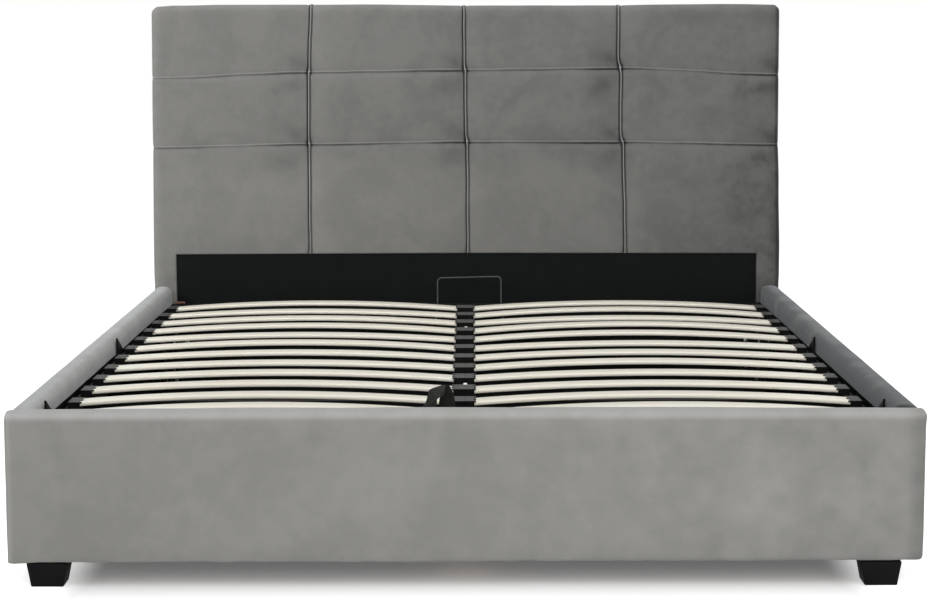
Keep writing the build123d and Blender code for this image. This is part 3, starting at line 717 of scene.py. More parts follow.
@dataclass
class SoftRail:
    """Velvet wrapped tightly over foam on one board of the bed's box."""

    node: str
    name: str
    top_radius: float = 0.021
    base_radius: float = 0.005
    step: float = 0.013
    ripple: float = 0.0011
    ripple_length: float = 0.22
    fine_ripple: Pair = (0.4, 2.3)
    pucker: float = 0.0013
    pucker_length: float = 0.03
    pucker_height: float = 0.06
    edge_shares: tuple[float, ...] = (0.1, 0.28, 0.5, 0.75, 1.0)
    seed: float = 0.0
    # Painted light and shade: the tone of the top and of the inner face, the inner face painted darker than the top and
    # darker still low down, fading towards the head end, with random mottle.
    nap: float = 0.8
    inner_nap: float = 0.8
    inner_side: Side = Side.LEFT
    low_painted_shade: float = 0.0
    low_reach: Pair = (0.02, 0.06)
    turn_shares: Pair = (0.55, 0.95)
    head_start: float = 0.1
    head_fade: float = 0.25
    mottle: float = 0.04
    patch_sizes: Pair = (0.09, 0.035)
    patch_share: float = 0.7
    outward: float = 0.0
    outward_reach: Pair = (0.81, 0.845)

    def radii_at(self, point: Vector, low: Vector, high: Vector) -> Vector:
        """Radii of the edges along X, Y and Z at a point: tight at the base, full at the top."""
        radius = self.base_radius + (self.top_radius - self.base_radius) * smooth_share(point.z, low.z, high.z)
        return Vector((radius, radius, radius))

    def painted_light_at(self, spot: Vector, low: Vector, high: Vector) -> float:
        """Painted light and shade at a point: the side that faces the slats painted darker or lighter, with random
        mottle.
        """
        inward = (high.x - spot.x if self.inner_side is Side.RIGHT else spot.x - low.x) / (high.x - low.x)
        turned = smooth_share(inward, *self.turn_shares)
        turned *= 1 - self.head_fade * smooth_share(spot.y, self.head_start, high.y)
        lower = self.low_painted_shade * smooth_share(high.z - spot.z, *self.low_reach) * turned
        return self.nap + (self.inner_nap - self.nap) * turned - lower + self.mottle * self.patch(spot)

    def patch(self, spot: Vector) -> float:
        """Uneven tone at a point, at random, in large patches and small ones."""
        large, small = self.patch_sizes
        return noise.noise(spot / large + Y_AXIS * self.seed) + self.patch_share * noise.noise(spot / small)

    def lines(self, low: float, high: float) -> list[float]:
        """Places of the edge loops between two faces, close together near both."""
        near = [self.top_radius * share for share in self.edge_shares]
        stops = [low + gap for gap in near] + [high - gap for gap in near]
        return spaced([stop for stop in stops if low < stop < high], self.step)

    def settle(self, point: Vector, low: Vector, high: Vector) -> Vector:
        """Moves a point of the plain block to the padded surface.

        Args:
            point: A point on the block.
            low: The block's lowest corner.
            high: The block's highest corner.

        Returns:
            The point on the rounded and rippled cover.
        """
        radii = self.radii_at(point, low, high)
        core = Vector(min(max(p, a + r), b - r) for p, a, b, r in zip(point, low, high, radii))
        outward = Vector((p - c) / r for p, c, r in zip(point, core, radii)).normalized()
        spot = core + Vector(n * r for n, r in zip(outward, radii))
        spot.x += math.copysign(self.outward, spot.x) * smooth_share(abs(spot.x), *self.outward_reach)
        shift = X_AXIS * self.seed
        place, (share, finer) = spot / self.ripple_length, self.fine_ripple
        lift = self.ripple * (noise.noise(place + shift) + share * noise.noise(place * finer + shift) - 1)
        gathered = smooth_share(spot.z - low.z, self.pucker_height, 0)
        folds = noise.noise(Vector((spot.x, spot.y, spot.z / 4)) / self.pucker_length + shift)
        return spot + outward * (lift + self.pucker * gathered * (folds - 0.5))

    def build(self) -> Piece:
        """The finished cover.

        Returns:
            The cover's object.
        """
        low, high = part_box(self.node)
        mesh = bmesh.new()
        block(mesh, low, high)
        for index, axis in enumerate((X_AXIS, Y_AXIS, Z_AXIS)):
            cut_lines(mesh, axis, self.lines(low[index], high[index]))
        # Painted light and shade, with random mottle, for the velvet's colour.
        nap = mesh.verts.layers.float.new("nap")
        for vertex in mesh.verts:
            vertex.co = self.settle(vertex.co, low, high)
            vertex[nap] = self.painted_light_at(vertex.co, low, high)
        cover = place_piece(self.name, mesh, VELVET, Body.BASE, (self.node,), 180.0)
        return cover


@dataclass
class EndRail(SoftRail):
    """Velvet of the footboard: full at its ends and its crown, gathered at its lower left corner.

    The shade painted at a border is followed by its distances from the edge, where it starts and where it is full.
    """

    right_base_radius: float = 0.011
    side_radius: float = 0.0085
    left_swell: Pair = (0.0005, 0.0032)
    right_swell: Pair = (0.0034, 0.0042)
    crown_rise: float = 0.0027
    # Painted light and shade: lighter towards the right, a painted highlight on the crown and the left edge, painted
    # shade at the right edge and along the base.
    left_nap: float = 0.375
    right_nap: float = 0.405
    crown_reach: Pair = (0.021, 0.008)
    left_border: Triple = (0.16, 0.014, 0.004)
    right_border: Triple = (-0.15, 0.040, 0.008)
    base_border: Triple = (-0.03, 0.03, 0.0)
    mottle_shares: Knots = ((-0.1, 0.4), (0.7, 1.3))
    patch_sizes: Pair = (0.12, 0.04)
    patch_share: float = 0.8
    # Painted highlight along the crown, strongest to the left.
    crown_painted_light: Knots = ((-0.85, 0.32), (0.0, 0.25), (0.85, 0.22))
    swell_reach: Pair = (0.79, 0.845)
    lobe: Pair = (0.0022, 0.009)
    lobe_drop: float = 0.012
    lobe_reach: Pair = (0.80, 0.84)
    sag: float = 0.0026
    sag_place: float = -0.834
    sag_width: float = 0.018
    sag_height: float = 0.05
    fold: float = 0.0022
    fold_pitch: Pair = (0.007, 0.016)

    def radii_at(self, point: Vector, low: Vector, high: Vector) -> Vector:
        """Radii of the edges along X, Y and Z at a point, smaller round the two ends."""
        rise = smooth_share(point.z, low.z, high.z)
        base = self.base_radius + (self.right_base_radius - self.base_radius) * smooth_share(point.x, -0.5, 0.5)
        full = base + (self.top_radius - base) * rise
        return Vector((min(full, base + (self.side_radius - base) * rise), full, full))

    def painted_light_at(self, spot: Vector, low: Vector, high: Vector) -> float:
        """Painted light and shade: lighter on the crown and the left edge, darker towards the right edge, with random
        mottle.
        """
        shade = self.left_nap + (self.right_nap - self.left_nap) * smooth_share(spot.x, low.x, high.x)
        shade += along(self.crown_painted_light, spot.x) * smooth_share(high.z - spot.z, *self.crown_reach)
        borders = ((spot.x - low.x, self.left_border), (high.x - spot.x, self.right_border),
                   (spot.z - low.z, self.base_border))
        shade += sum(amount * smooth_share(gap, start, full) for gap, (amount, start, full) in borders)
        return shade + self.mottle * along(self.mottle_shares, spot.x) * self.patch(spot)

    def settle(self, point: Vector, low: Vector, high: Vector) -> Vector:
        """Moves a point of the plain block to the cover, with the gathers of its lower left corner."""
        spot = super().settle(point, low, high)
        near = bell(spot.x - self.sag_place, self.sag_width) * smooth_share(spot.z - low.z, self.sag_height, 0)
        ridge = math.sin((spot.x - self.sag_place) / self.fold_pitch[0] + (spot.z - low.z) / self.fold_pitch[1])
        spot.z -= self.sag * near
        swell = self.left_swell if spot.x < 0 else self.right_swell
        rise = smooth_share(spot.z, low.z, high.z)
        fullness = swell[0] + (swell[1] - swell[0]) * rise
        fullness += hump(spot.z - high.z + self.lobe_drop, self.lobe) * smooth_share(spot.x, *self.lobe_reach)
        spot.x += math.copysign(fullness, spot.x) * smooth_share(abs(spot.x), *self.swell_reach)
        spot.z += self.crown_rise * rise * (1 - (spot.x / high.x) ** 2)
        if spot.y < (low.y + high.y) / 2:
            spot.y += self.fold * near * ridge
        return spot


@dataclass(frozen=True)
class Patch:
    """A soft patch a little to the right of a crossing of two seams and above it."""

    amount: float
    right: float
    above: float
    width: float
    height: float
    slope: float = 0.0

    def at(self, gap: float, rise: float) -> float:
        """Its amount at a distance to the right of the crossing and a rise above it."""
        up = rise - self.above + self.slope * gap
        return self.amount * bell(gap - self.right, self.width) * bell(up, self.height)


@dataclass
class HeadboardPad:
    """Padded velvet front of the headboard, with sewn pintucks in three rows of four fields.

    A pair for a groove, ridge or line is the height and the width of its bell curve. The shade painted at a border is
    followed by its distances from the edge, where it starts and where it is full.
    """

    edge: float = 0.014
    deepest: float = 0.035
    columns: tuple[float, ...] = (-0.425, 0.0, 0.425)
    rows: tuple[float, ...] = (0.714, 0.910)
    column_leans: tuple[Knots, ...] = (
        ((0.43, 0.0000), (0.70, 0.0002), (0.74, -0.0004), (0.89, 0.0000), (0.94, 0.0030), (1.08, 0.0078)),
        ((0.43, 0.0042), (0.70, 0.0038), (0.74, -0.0006), (0.89, -0.0016), (0.94, -0.0046), (1.08, -0.0048)),
        ((0.43, 0.0079), (0.70, 0.0012), (0.74, -0.0064), (0.89, -0.0062), (0.94, -0.0148), (1.08, -0.0138)))
    row_waves: tuple[Knots, ...] = (
        ((-0.84, -0.0045), (-0.43, 0.0036), (0.0, 0.009), (0.42, 0.0076), (0.84, 0.0009)),
        ((-0.84, -0.013), (-0.43, 0.0017), (0.0, 0.007), (0.42, 0.011), (0.84, -0.0064)))
    kink: float = 0.00128
    kink_reach: float = 0.0075
    lean_ripple: float = 0.0012
    wave_ripple: float = 0.001
    groove: Pair = (0.0062, 0.0012)
    groove_gap: float = 0.0031
    groove_bias: float = 0.18
    groove_turn: float = 0.5
    foot_spread: float = 0.8
    foot_height: float = 0.022
    tuck_ridge: Pair = (0.0054, 0.0015)
    tuck_turn: float = 0.0008
    fold_groove: Pair = (0.0036, 0.0048)
    fold_drop: float = 0.0052
    fold_ridge: Pair = (0.0030, 0.0019)
    open_share: float = 0.50
    open_ripple: float = 0.85
    open_near: Pair = (0.55, 0.05)
    open_left: float = 0.055
    open_limits: Pair = (0.04, 1.25)
    column_pull: float = 0.0050
    row_pull: float = 0.0026
    crown_power: float = 9.0
    outer_crown: float = 0.45
    dents: tuple[Patch, ...] = (
        Patch(0.0034, 0.0, 0.0, 0.0075, 0.0075), Patch(-0.0048, 0.001, 0.0, 0.0034, 0.0034 / 0.7),
        Patch(0.0036, -0.038, 0.03, 0.05, 0.04), Patch(0.00216, -0.05, -0.035, 0.04 / 0.7, 0.04))
    swells: tuple[Triple, ...] = ((0.0011, 0.0, 0.16), (0.0004, 3.0, 0.05))
    panel_half: float = 0.790
    panel_top: float = 0.417
    panel_tilt: float = 0.0022
    panel_roll: float = 0.0035
    panel_recess: float = 0.0105
    proud: float = 0.0042
    sunk: float = 0.0012
    rail_top: float = 0.336
    rail_fade: float = 0.02
    left_corner: float = 0.020
    right_corner: float = 0.018
    top_line: Knots = (
        (-0.84, -0.0034), (-0.776, 0.0002), (-0.667, 0.0020), (-0.232, 0.0018), (0.0, -0.0016), (0.41, -0.0017),
        (0.636, 0.0012), (0.745, 0.0006), (0.84, -0.0012))
    left_line: Knots = ((0.417, 0.0024), (0.75, -0.0004), (1.08, -0.0028))
    right_line: Knots = ((0.417, 0.0038), (0.60, 0.0), (0.75, -0.0042), (1.08, -0.0050))
    knob: Pair = (0.0018, 0.0045)
    knob_dip: Pair = (0.0016, 0.003)
    knob_reach: float = 0.006
    side_dip: Pair = (0.0008, 0.007)
    # Painted light and shade: lighter to the left and darker to the right, a little lighter or darker below the lower
    # row, and painted shade beside the crossings.
    left_nap: float = 0.282
    right_nap: float = 0.168
    low_painted_light: Knots = ((-0.85, 0.055), (-0.3, 0.075), (0.30, 0.05), (0.82, -0.045))
    low_reach: float = 0.12
    painted_shade_patches: tuple[Patch, ...] = (
        Patch(-0.095, -0.026, 0.015, 0.042, 0.024, 0.3), Patch(-0.075, -0.050, -0.030, 0.065, 0.026, -0.2))
    # Painted highlight just right of each column seam.
    painted_gleam: Pair = (0.026, 0.028)
    painted_gleam_right: float = 0.025
    # Painted light at the top and left borders, painted shade at the right border.
    top_border: Triple = (0.042, 0.030, 0.006)
    left_border: Triple = (0.047, 0.030, 0.012)
    right_borders: tuple[Triple, ...] = ((-0.04, 0.040, 0.012), (-0.10, 0.014, 0.006))
    # Painted highlights on the ridges, the knots and the row seams; painted shade in the grooves, beside the knots and
    # below the row folds.
    ridge_light: Pair = (0.45, 0.0015)
    groove_shade: Pair = (0.38, 0.0019)
    knot_light: Patch = Patch(0.48, 0.0, 0.0, 0.0034, 0.0034 / 0.55)
    bracket_shade: Patch = Patch(0.36, 0.0068, 0.0, 0.0017, 0.009)
    seam_light: Pair = (0.12, 0.0015)
    seam_shade: Pair = (0.20, 0.0020)
    seam_drop: float = 0.0038
    step: float = 0.012
    near_seam: tuple[float, ...] = (0.0, 0.0007, 0.0014, 0.0021, 0.0028, 0.0036, 0.0046, 0.0062, 0.009, 0.014, 0.022)
    near_edge: tuple[float, ...] = (0.0, 0.0004, 0.0016, 0.0036, 0.0064, 0.010, 0.014, 0.020)
    near_panel: tuple[float, ...] = (-0.001, 0.0, 0.0006, 0.0016, 0.0035, 0.006)
    rim_depths: Pair = (0.02, 0.045)

    def __post_init__(self) -> None:
        """Takes the pad's box from the frame."""
        self.low, self.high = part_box("headboard_pad")

    def grid_lines(self) -> tuple[list[float], list[float]]:
        """Columns and rows of the front's grid, close together at seams and edges.

        Returns:
            The X places and the Z places.
        """
        across = [seam + side * gap for seam in self.columns for gap in self.near_seam for side in (-1, 1)]
        across += [side * (self.high.x - gap) for gap in self.near_edge for side in (-1, 1)]
        across += [side * (self.panel_half + gap) for gap in self.near_panel for side in (-1, 1)]
        upright = [seam + side * gap for seam in self.rows for gap in self.near_seam for side in (-1, 1)]
        upright += [self.high.z - gap for gap in self.near_edge] + [self.low.z + gap for gap in self.near_edge]
        upright += [self.panel_top + gap for gap in self.near_panel]
        return spaced(across, self.step), spaced(upright, self.step)

    def lean(self, index: int, x: float, z: float) -> float:
        """How far a column's seam stands beside its true line at a height, with a kink at each crossing."""
        seam = along(self.column_leans[index], z)
        for count, row in enumerate(self.rows):
            turn = (z - row) / self.kink_reach
            seam += self.kink * turn * bell(turn, 1) * (1 if (index + count) % 2 else -1)
        return seam + self.lean_ripple * ripple(x * 3, z * 14, index)

    def wave(self, index: int, x: float) -> float:
        """How far a row's seam runs above its true line at a place across."""
        return along(self.row_waves[index], x) + self.wave_ripple * ripple(x * 12, 3, index + 7)

    def tuck(self, gap: float, seam: float, z: float) -> float:
        """Depth from a column's pintuck: a rounded fold between two grooves.

        Args:
            gap: Distance from the seam's line.
            seam: The seam's place across.
            z: Height.

        Returns:
            The depth in metres.
        """
        spread = 1 + self.foot_spread * smooth_share(self.panel_top + self.foot_height - z, 0, self.foot_height)
        side = self.groove_gap * spread
        turn = ripple(seam * 7, 4, z * 7)
        uneven = self.groove_bias + self.groove_turn * turn
        grooves = (1 + uneven) * hump(gap + side, self.groove) + (1 - uneven) * hump(gap - side, self.groove)
        return grooves - hump(gap + self.tuck_turn * turn, self.tuck_ridge)

    def fold(self, rise: float, x: float, seam: float) -> float:
        """Depth from a row's seam: a thin fold that lies down over a soft groove, and fades in places.

        Args:
            rise: Distance above the seam's line.
            x: Place across.
            seam: The seam's height.

        Returns:
            The depth in metres.
        """
        shown = self.shown(x, seam)
        ridge = (0.55 + 0.45 * shown) * hump(rise, self.fold_ridge)
        return shown * hump(rise + self.fold_drop, self.fold_groove) - ridge

    def shown(self, x: float, seam: float) -> float:
        """How far a row's fold is open at a place across, most to the left of each crossing."""
        opened = self.open_share + self.open_ripple * ripple(x * 4.2, seam * 11, 2)
        opened += sum(hump(x - column + self.open_left, self.open_near) for column in (*self.columns, self.high.x))
        return min(self.open_limits[1], max(self.open_limits[0], opened))

    def depth(self, x: float, z: float) -> float:
        """How far the velvet lies behind the front of the pad, from seams, crowns and dents.

        Args:
            x: Place across, on the plain grid.
            z: Height, on the plain grid.

        Returns:
            The depth in metres, positive into the pad.
        """
        above = smooth_share(z, self.panel_top - 0.004, self.panel_top + 0.002)
        total = above * sum(self.tuck(x - seam, seam, z) for seam in self.columns)
        total += sum(self.fold(z - seam, x, seam) for seam in self.rows)
        total += sum(dent.at(x - column, z - row) for dent in self.dents for column in self.columns
                     for row in self.rows)
        return total + self.crowns(x, z) - sum(size * ripple(x / length, layer / length, z / length)
                                               for size, layer, length in self.swells)

    def crowns(self, x: float, z: float) -> float:
        """Depth from the fullness of the fields, nothing at a field's middle."""
        across = self.field_share(x, (-self.high.x, *self.columns, self.high.x))
        lowest = 2 * self.panel_top - self.rows[0]
        upright = self.field_share(z, (lowest, *self.rows, self.high.z)) if z > self.panel_top else 0.0
        side = self.outer_crown if abs(x) > self.columns[-1] + self.high.x / 4 else 1.0
        return self.column_pull * side * across ** self.crown_power + self.row_pull * upright ** self.crown_power

    @staticmethod
    def field_share(place: float, stops: Sequence[float]) -> float:
        """Distance from the middle of a field as a share of its half width."""
        for start, end in zip(stops, stops[1:]):
            if place <= end:
                return min(1.0, abs(2 * (place - start) / (end - start) - 1))
        return 1.0

    def shift(self, x: float, z: float) -> Pair:
        """Leaning of the seams, slope of the lower edge and the soft silhouette.

        Args:
            x: Place across, on the plain grid.
            z: Height, on the plain grid.

        Returns:
            The place across and the height on the sewn pad.
        """
        move_x = sum(self.lean(i, x, z) * (1 - smooth_share(abs(x - seam), 0.02, 0.18))
                     for i, seam in enumerate(self.columns))
        move_z = sum(self.wave(i, x) * (1 - smooth_share(abs(z - seam), 0.015, 0.09))
                     for i, seam in enumerate(self.rows))
        at_panel = 1 - smooth_share(abs(z - self.panel_top), 0.012, 0.12)
        move_z += self.panel_tilt * (1 - abs(x) / self.panel_half) * at_panel
        move_z += smooth_share(z, self.high.z - 0.12, self.high.z) * along(self.top_line, x)
        knobs = 0.0008 * ripple(x * 9, 0, 5) + sum(
            hump(x - seam, self.knob) - hump(abs(x - seam) - self.knob_reach, self.knob_dip) for seam in self.columns)
        move_z += smooth_share(z, self.high.z - 0.02, self.high.z) * knobs
        side = smooth_share(abs(x), self.high.x - 0.05, self.high.x)
        outward = along(self.right_line if x > 0 else self.left_line, z)
        outward -= sum(hump(z - row, self.side_dip) for row in self.rows)
        corner_x, corner_z = self.corner(x, z)
        return x + move_x + math.copysign(1, x) * side * outward + corner_x, z + move_z + corner_z

    def corner(self, x: float, z: float) -> Pair:
        """Move that rounds the two upper corners of the silhouette."""
        radius = self.left_corner if x < 0 else self.right_corner
        along_x = (abs(x) - self.high.x) / radius + 1
        along_z = (z - self.high.z) / radius + 1
        if along_x <= 0 or along_z <= 0:
            return 0.0, 0.0
        share = max(along_x, along_z) / math.hypot(along_x, along_z) - 1
        return math.copysign(along_x * share * radius, -x), along_z * share * radius

    def front(self, x: float, z: float) -> float:
        """Y of the pad's front at a place of the plain grid.

        Args:
            x: Place across.
            z: Height.

        Returns:
            The Y place, with the rounded border and the recess for the lower panel.
        """
        free = smooth_share(z, self.rail_top, self.rail_top + self.rail_fade)
        inward = self.depth(x, z) - self.proud * free + self.sunk * (1 - free)
        inward += sum(quarter(self.edge, gap) for gap in (self.high.x - abs(x), self.high.z - z))
        beyond = max(abs(x) - self.panel_half, z - self.panel_top)
        if beyond <= 0:
            return self.low.y + self.panel_recess
        return self.low.y + min(inward + quarter(self.panel_roll, beyond), self.deepest)

    def painted_light_at(self, x: float, z: float) -> float:
        """Painted light and shade: lighter to the left, painted shade beside the seams' lower left."""
        shade = self.left_nap + (self.right_nap - self.left_nap) * (x + self.high.x) / (2 * self.high.x)
        shade += sum(shade_patch.at(x - column, z - row) for column in (*self.columns, self.high.x)
                     for row in self.rows for shade_patch in self.painted_shade_patches)
        shade += sum(hump(x - column - self.painted_gleam_right, self.painted_gleam) for column in self.columns)
        shade += along(self.low_painted_light, x) * smooth_share(self.rows[0] - z, 0.0, self.low_reach)
        borders = [(self.high.z - z, self.top_border), (self.high.x + x, self.left_border)]
        borders += [(self.high.x - x, border) for border in self.right_borders]
        shade += sum(amount * smooth_share(gap, start, full) for gap, (amount, start, full) in borders)
        return shade + self.stitched_nap(x, z)

    def stitched_nap(self, x: float, z: float) -> float:
        """Painted light and shade of the sewn lines: lighter on the ridges and the knots, darker in the grooves."""
        shade = 0.0
        sewn = smooth_share(z, self.panel_top, self.panel_top + 0.004)
        for gap in (x - column for column in self.columns):
            shade += sewn * hump(gap, self.ridge_light)
            shade -= sewn * hump(gap + self.groove_gap, self.groove_shade)
            shade -= sewn * hump(gap - self.groove_gap, self.groove_shade) / 2
            shade += sum(self.knot_light.at(gap, z - row) - self.bracket_shade.at(abs(gap), z - row)
                         for row in self.rows)
        for row in self.rows:
            shade += hump(z - row, self.seam_light)
            shade -= self.shown(x, row) * hump(z - row + self.seam_drop, self.seam_shade)
        return shade

    def build(self) -> Piece:
        """The finished pad.

        Returns:
            The pad's object.
        """
        across, upright = self.grid_lines()
        mesh = bmesh.new()
        turn = Matrix.Rotation(math.radians(90), 4, "X")
        bmesh.ops.create_grid(mesh, x_segments=len(across) - 1, y_segments=len(upright) - 1, size=1, matrix=turn)
        # Painted light and shade for the velvet's colour.
        nap = mesh.verts.layers.float.new("nap")
        for vertex in mesh.verts:
            x, z = (lines[round((place + 1) / 2 * (len(lines) - 1))]
                    for place, lines in ((vertex.co.x, across), (vertex.co.z, upright)))
            moved_x, moved_z = self.shift(x, z)
            vertex.co = Vector((moved_x, self.front(x, z), moved_z))
            vertex[nap] = self.painted_light_at(x, z)
        rim = [edge for edge in mesh.edges if edge.is_boundary]
        for depth in (*self.rim_depths, self.high.y - self.low.y):
            made = bmesh.ops.extrude_edge_only(mesh, edges=rim)["geom"]
            for vertex in only(made, bmesh.types.BMVert):
                vertex.co.y = max(vertex.co.y, self.low.y + depth)
            rim = [edge for edge in only(made, bmesh.types.BMEdge) if edge.is_boundary]
        bmesh.ops.holes_fill(mesh, edges=rim, sides=0)
        pad = place_piece("headboard_velvet", mesh, VELVET, Body.BASE, ("headboard_pad",), 60.0)
        return pad


@dataclass
class HeadboardBoards:
    """Dark lower panel, back lining with its staples, and the timber inside."""

    panel_gap: float = 0.0008
    panel_round: float = 0.0012
    panel_step: float = 0.1
    timber_round: float = 0.0015
    corner_cut: float = 0.034
    rise: float = 0.0032
    lining_round: float = 0.0008
    staple_pitch: float = 0.07
    staple_start: float = 0.03
    staple_width: float = 0.011
    staple_wire: float = 0.0011
    staple_inset: float = 0.006

    def build(self) -> None:
        """Makes every board of the headboard."""
        self.panel()
        self.lining()
        self.timber()

    def timber(self) -> Piece:
        """The timber inside, with its top corners cut back so that they stay inside the velvet."""
        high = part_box("headboard_frame")[1]
        start_x, start_z = high.x - self.corner_cut, high.z - self.corner_cut
        mesh = node_mesh("headboard_frame", self.timber_round)
        cut_lines(mesh, Z_AXIS, (start_z,))
        cut_lines(mesh, X_AXIS, (-start_x, start_x))
        for vertex in mesh.verts:
            across, upright = abs(vertex.co.x) - start_x, vertex.co.z - start_z
            away = math.hypot(across, upright)
            if min(across, upright) > 0 and away > self.corner_cut:
                drawn_in = self.corner_cut / away
                vertex.co.x = math.copysign(start_x + across * drawn_in, vertex.co.x)
                vertex.co.z = start_z + upright * drawn_in
        return place_piece("headboard_timber", mesh, TIMBER, Body.BASE, ("headboard_frame",))

    def panel(self) -> Piece:
        """The dark lower panel, with the slope of the velvet above it."""
        low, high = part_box("headboard_lower_panel")
        mesh = bmesh.new()
        rounded_block(mesh, low + X_AXIS * self.panel_gap, high - X_AXIS * self.panel_gap, self.panel_round)
        cut_lines(mesh, X_AXIS, spaced((low.x, high.x), self.panel_step)[1:-1])
        for vertex in mesh.verts:
            share = smooth_share(vertex.co.z, (low.z + high.z) / 2, high.z)
            vertex.co.z += share * self.rise * (1 - abs(vertex.co.x) / high.x)
        return place_piece("lower_panel", mesh, LINING, Body.BASE, ("headboard_lower_panel",))

    def lining(self) -> None:
        """The black lining of the back, and the staples round it."""
        low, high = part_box("headboard_back_lining")
        mesh = bmesh.new()
        rounded_block(mesh, low, high, self.lining_round)
        place_piece("back_lining", mesh, LINING, Body.BASE, ("headboard_back_lining",))
        mesh = bmesh.new()
        start = self.staple_start
        for x in spaced((low.x + start, high.x - start), self.staple_pitch):
            self.staple(mesh, Vector((x, high.y, high.z - self.staple_inset)), X_AXIS)
        for z in spaced((low.z + start, high.z - start), self.staple_pitch):
            for x in (low.x + self.staple_inset, high.x - self.staple_inset):
                self.staple(mesh, Vector((x, high.y, z)), Z_AXIS)
        place_piece("lining_staples", mesh, ZINC, Body.BASE)

    def staple(self, mesh: Mesh, centre: Vector, run: Vector) -> None:
        """Adds one staple's crown.

        Args:
            mesh: The mesh to add to.
            centre: Its middle on the lining.
            run: Its direction.
        """
        wire = self.staple_wire / 2
        half = run * self.staple_width / 2 + Vector((wire, wire, wire))
        rounded_block(mesh, centre - half, centre + half, wire / 2, 1)


@dataclass
class Feet:
    """Tapered satin black block feet, set near the ends of the bed."""

    round_radius: float = 0.0022
    left_outward: float = 0.0105
    right_outward: float = 0.0072
    narrower: float = 0.0030
    forward: float = 0.005

    def build(self) -> Piece:
        """Makes the four feet.

        Returns:
            The feet's object.
        """
        mesh = node_mesh("feet", self.round_radius, 3)
        low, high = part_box("feet")
        inner = min(abs(vertex.co.x) for vertex in mesh.verts)
        for vertex in mesh.verts:
            share = (abs(vertex.co.x) - inner) / (high.x - inner)
            outward = self.left_outward if vertex.co.x < 0 else self.right_outward
            vertex.co.x += math.copysign(outward + self.narrower * (1 - share), vertex.co.x)
            level = (vertex.co.z - low.z) / (high.z - low.z)
            vertex.co.y += math.copysign(self.forward * (1 - level), vertex.co.y)
        return place_piece("block_feet", mesh, FOOT_PLASTIC, Body.BASE, ("feet",), 35.0)


@dataclass
class RailLining:
    """Thin black lining along the inner faces of both rails."""

    depth: float = 0.0016
    sunk: float = 0.003
    foot: float = 0.050
    step: float = 0.1
    upper_line: Knots = ((-1.03, 0.2955), (-0.83, 0.2948), (-0.62, 0.2930), (-0.26, 0.2913), (0.19, 0.2882),
                         (0.93, 0.2845), (1.03, 0.2825))

    def build(self) -> None:
        """Makes both strips."""
        top = self.upper_line[0][1]
        for side in Side:
            low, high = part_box(f"side_rail_cover_{side.label}")
            face = low.x if side is Side.RIGHT else high.x
            mesh = bmesh.new()
            block(mesh, Vector((face - side.value * self.depth, low.y, self.foot)),
                  Vector((face + side.value * self.sunk, high.y, top)))
            cut_lines(mesh, Y_AXIS, spaced((low.y, high.y), self.step)[1:-1])
            for vertex in mesh.verts:
                if vertex.co.z > (self.foot + top) / 2:
                    vertex.co.z = along(self.upper_line, vertex.co.y)
            place_piece(f"rail_lining_{side.label}", mesh, LINING, Body.BASE)


@dataclass
class SlatRow:
    """One side's bowed birch slats."""

    side: Side
    rows: int = 12
    edge_radius: float = 0.0026
    thickness: float = 0.008
    spans: int = 16
    wander: float = 0.0006
    ply_share: float = 0.05
    ply_levels: Pair = (0.3, 0.7)
    left_trims: tuple[float, ...] = (0.0040, 0.0012, 0.0008, 0.0, -0.0012, -0.0002, 0.0018, -0.0010, 0.0020, 0.0006,
                                     -0.0006, 0.0020)
    right_trims: tuple[float, ...] = (0.0034, 0.0006, -0.0010, -0.0008, 0.0006, -0.0008, -0.0015, 0.0032, 0.0044,
                                      -0.0002, 0.0034, 0.0010)

    def build(self) -> None:
        """Makes the side's slats, one piece for each node."""
        for row in range(1, self.rows + 1):
            self.slat(row)

    def slat(self, row: int) -> Piece:
        """One bowed slat.

        Args:
            row: Its number from the foot end.

        Returns:
            The slat's object.
        """
        node = f"slat_{self.side.label}_{row:02d}"
        low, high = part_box(node)
        trims = self.left_trims if self.side is Side.LEFT else self.right_trims
        bow = high.z - low.z - self.thickness + trims[row - 1]
        flat_top = Vector((high.x, high.y, low.z + self.thickness))
        mesh = bmesh.new()
        ply = mesh.verts.layers.float.new("ply")
        rounded_block(mesh, low, flat_top, self.edge_radius, 3)
        cut_lines(mesh, X_AXIS, spaced((low.x, high.x), (high.x - low.x) / self.spans)[1:-1])
        for vertex in mesh.verts:
            level = (vertex.co.z - low.z) / self.thickness
            vertex[ply] = self.ply_share if self.ply_levels[0] < level < self.ply_levels[1] else 0.0
            share = 2 * (vertex.co.x - low.x) / (high.x - low.x) - 1
            wander = self.wander * ripple(vertex.co.x * 2, vertex.co.y * 2, row)
            vertex.co.z += (bow + wander) * (1 - share * share)
        return place_piece(f"birch_{node}", mesh, BIRCH, Body.SLAT_FRAME, (node,))


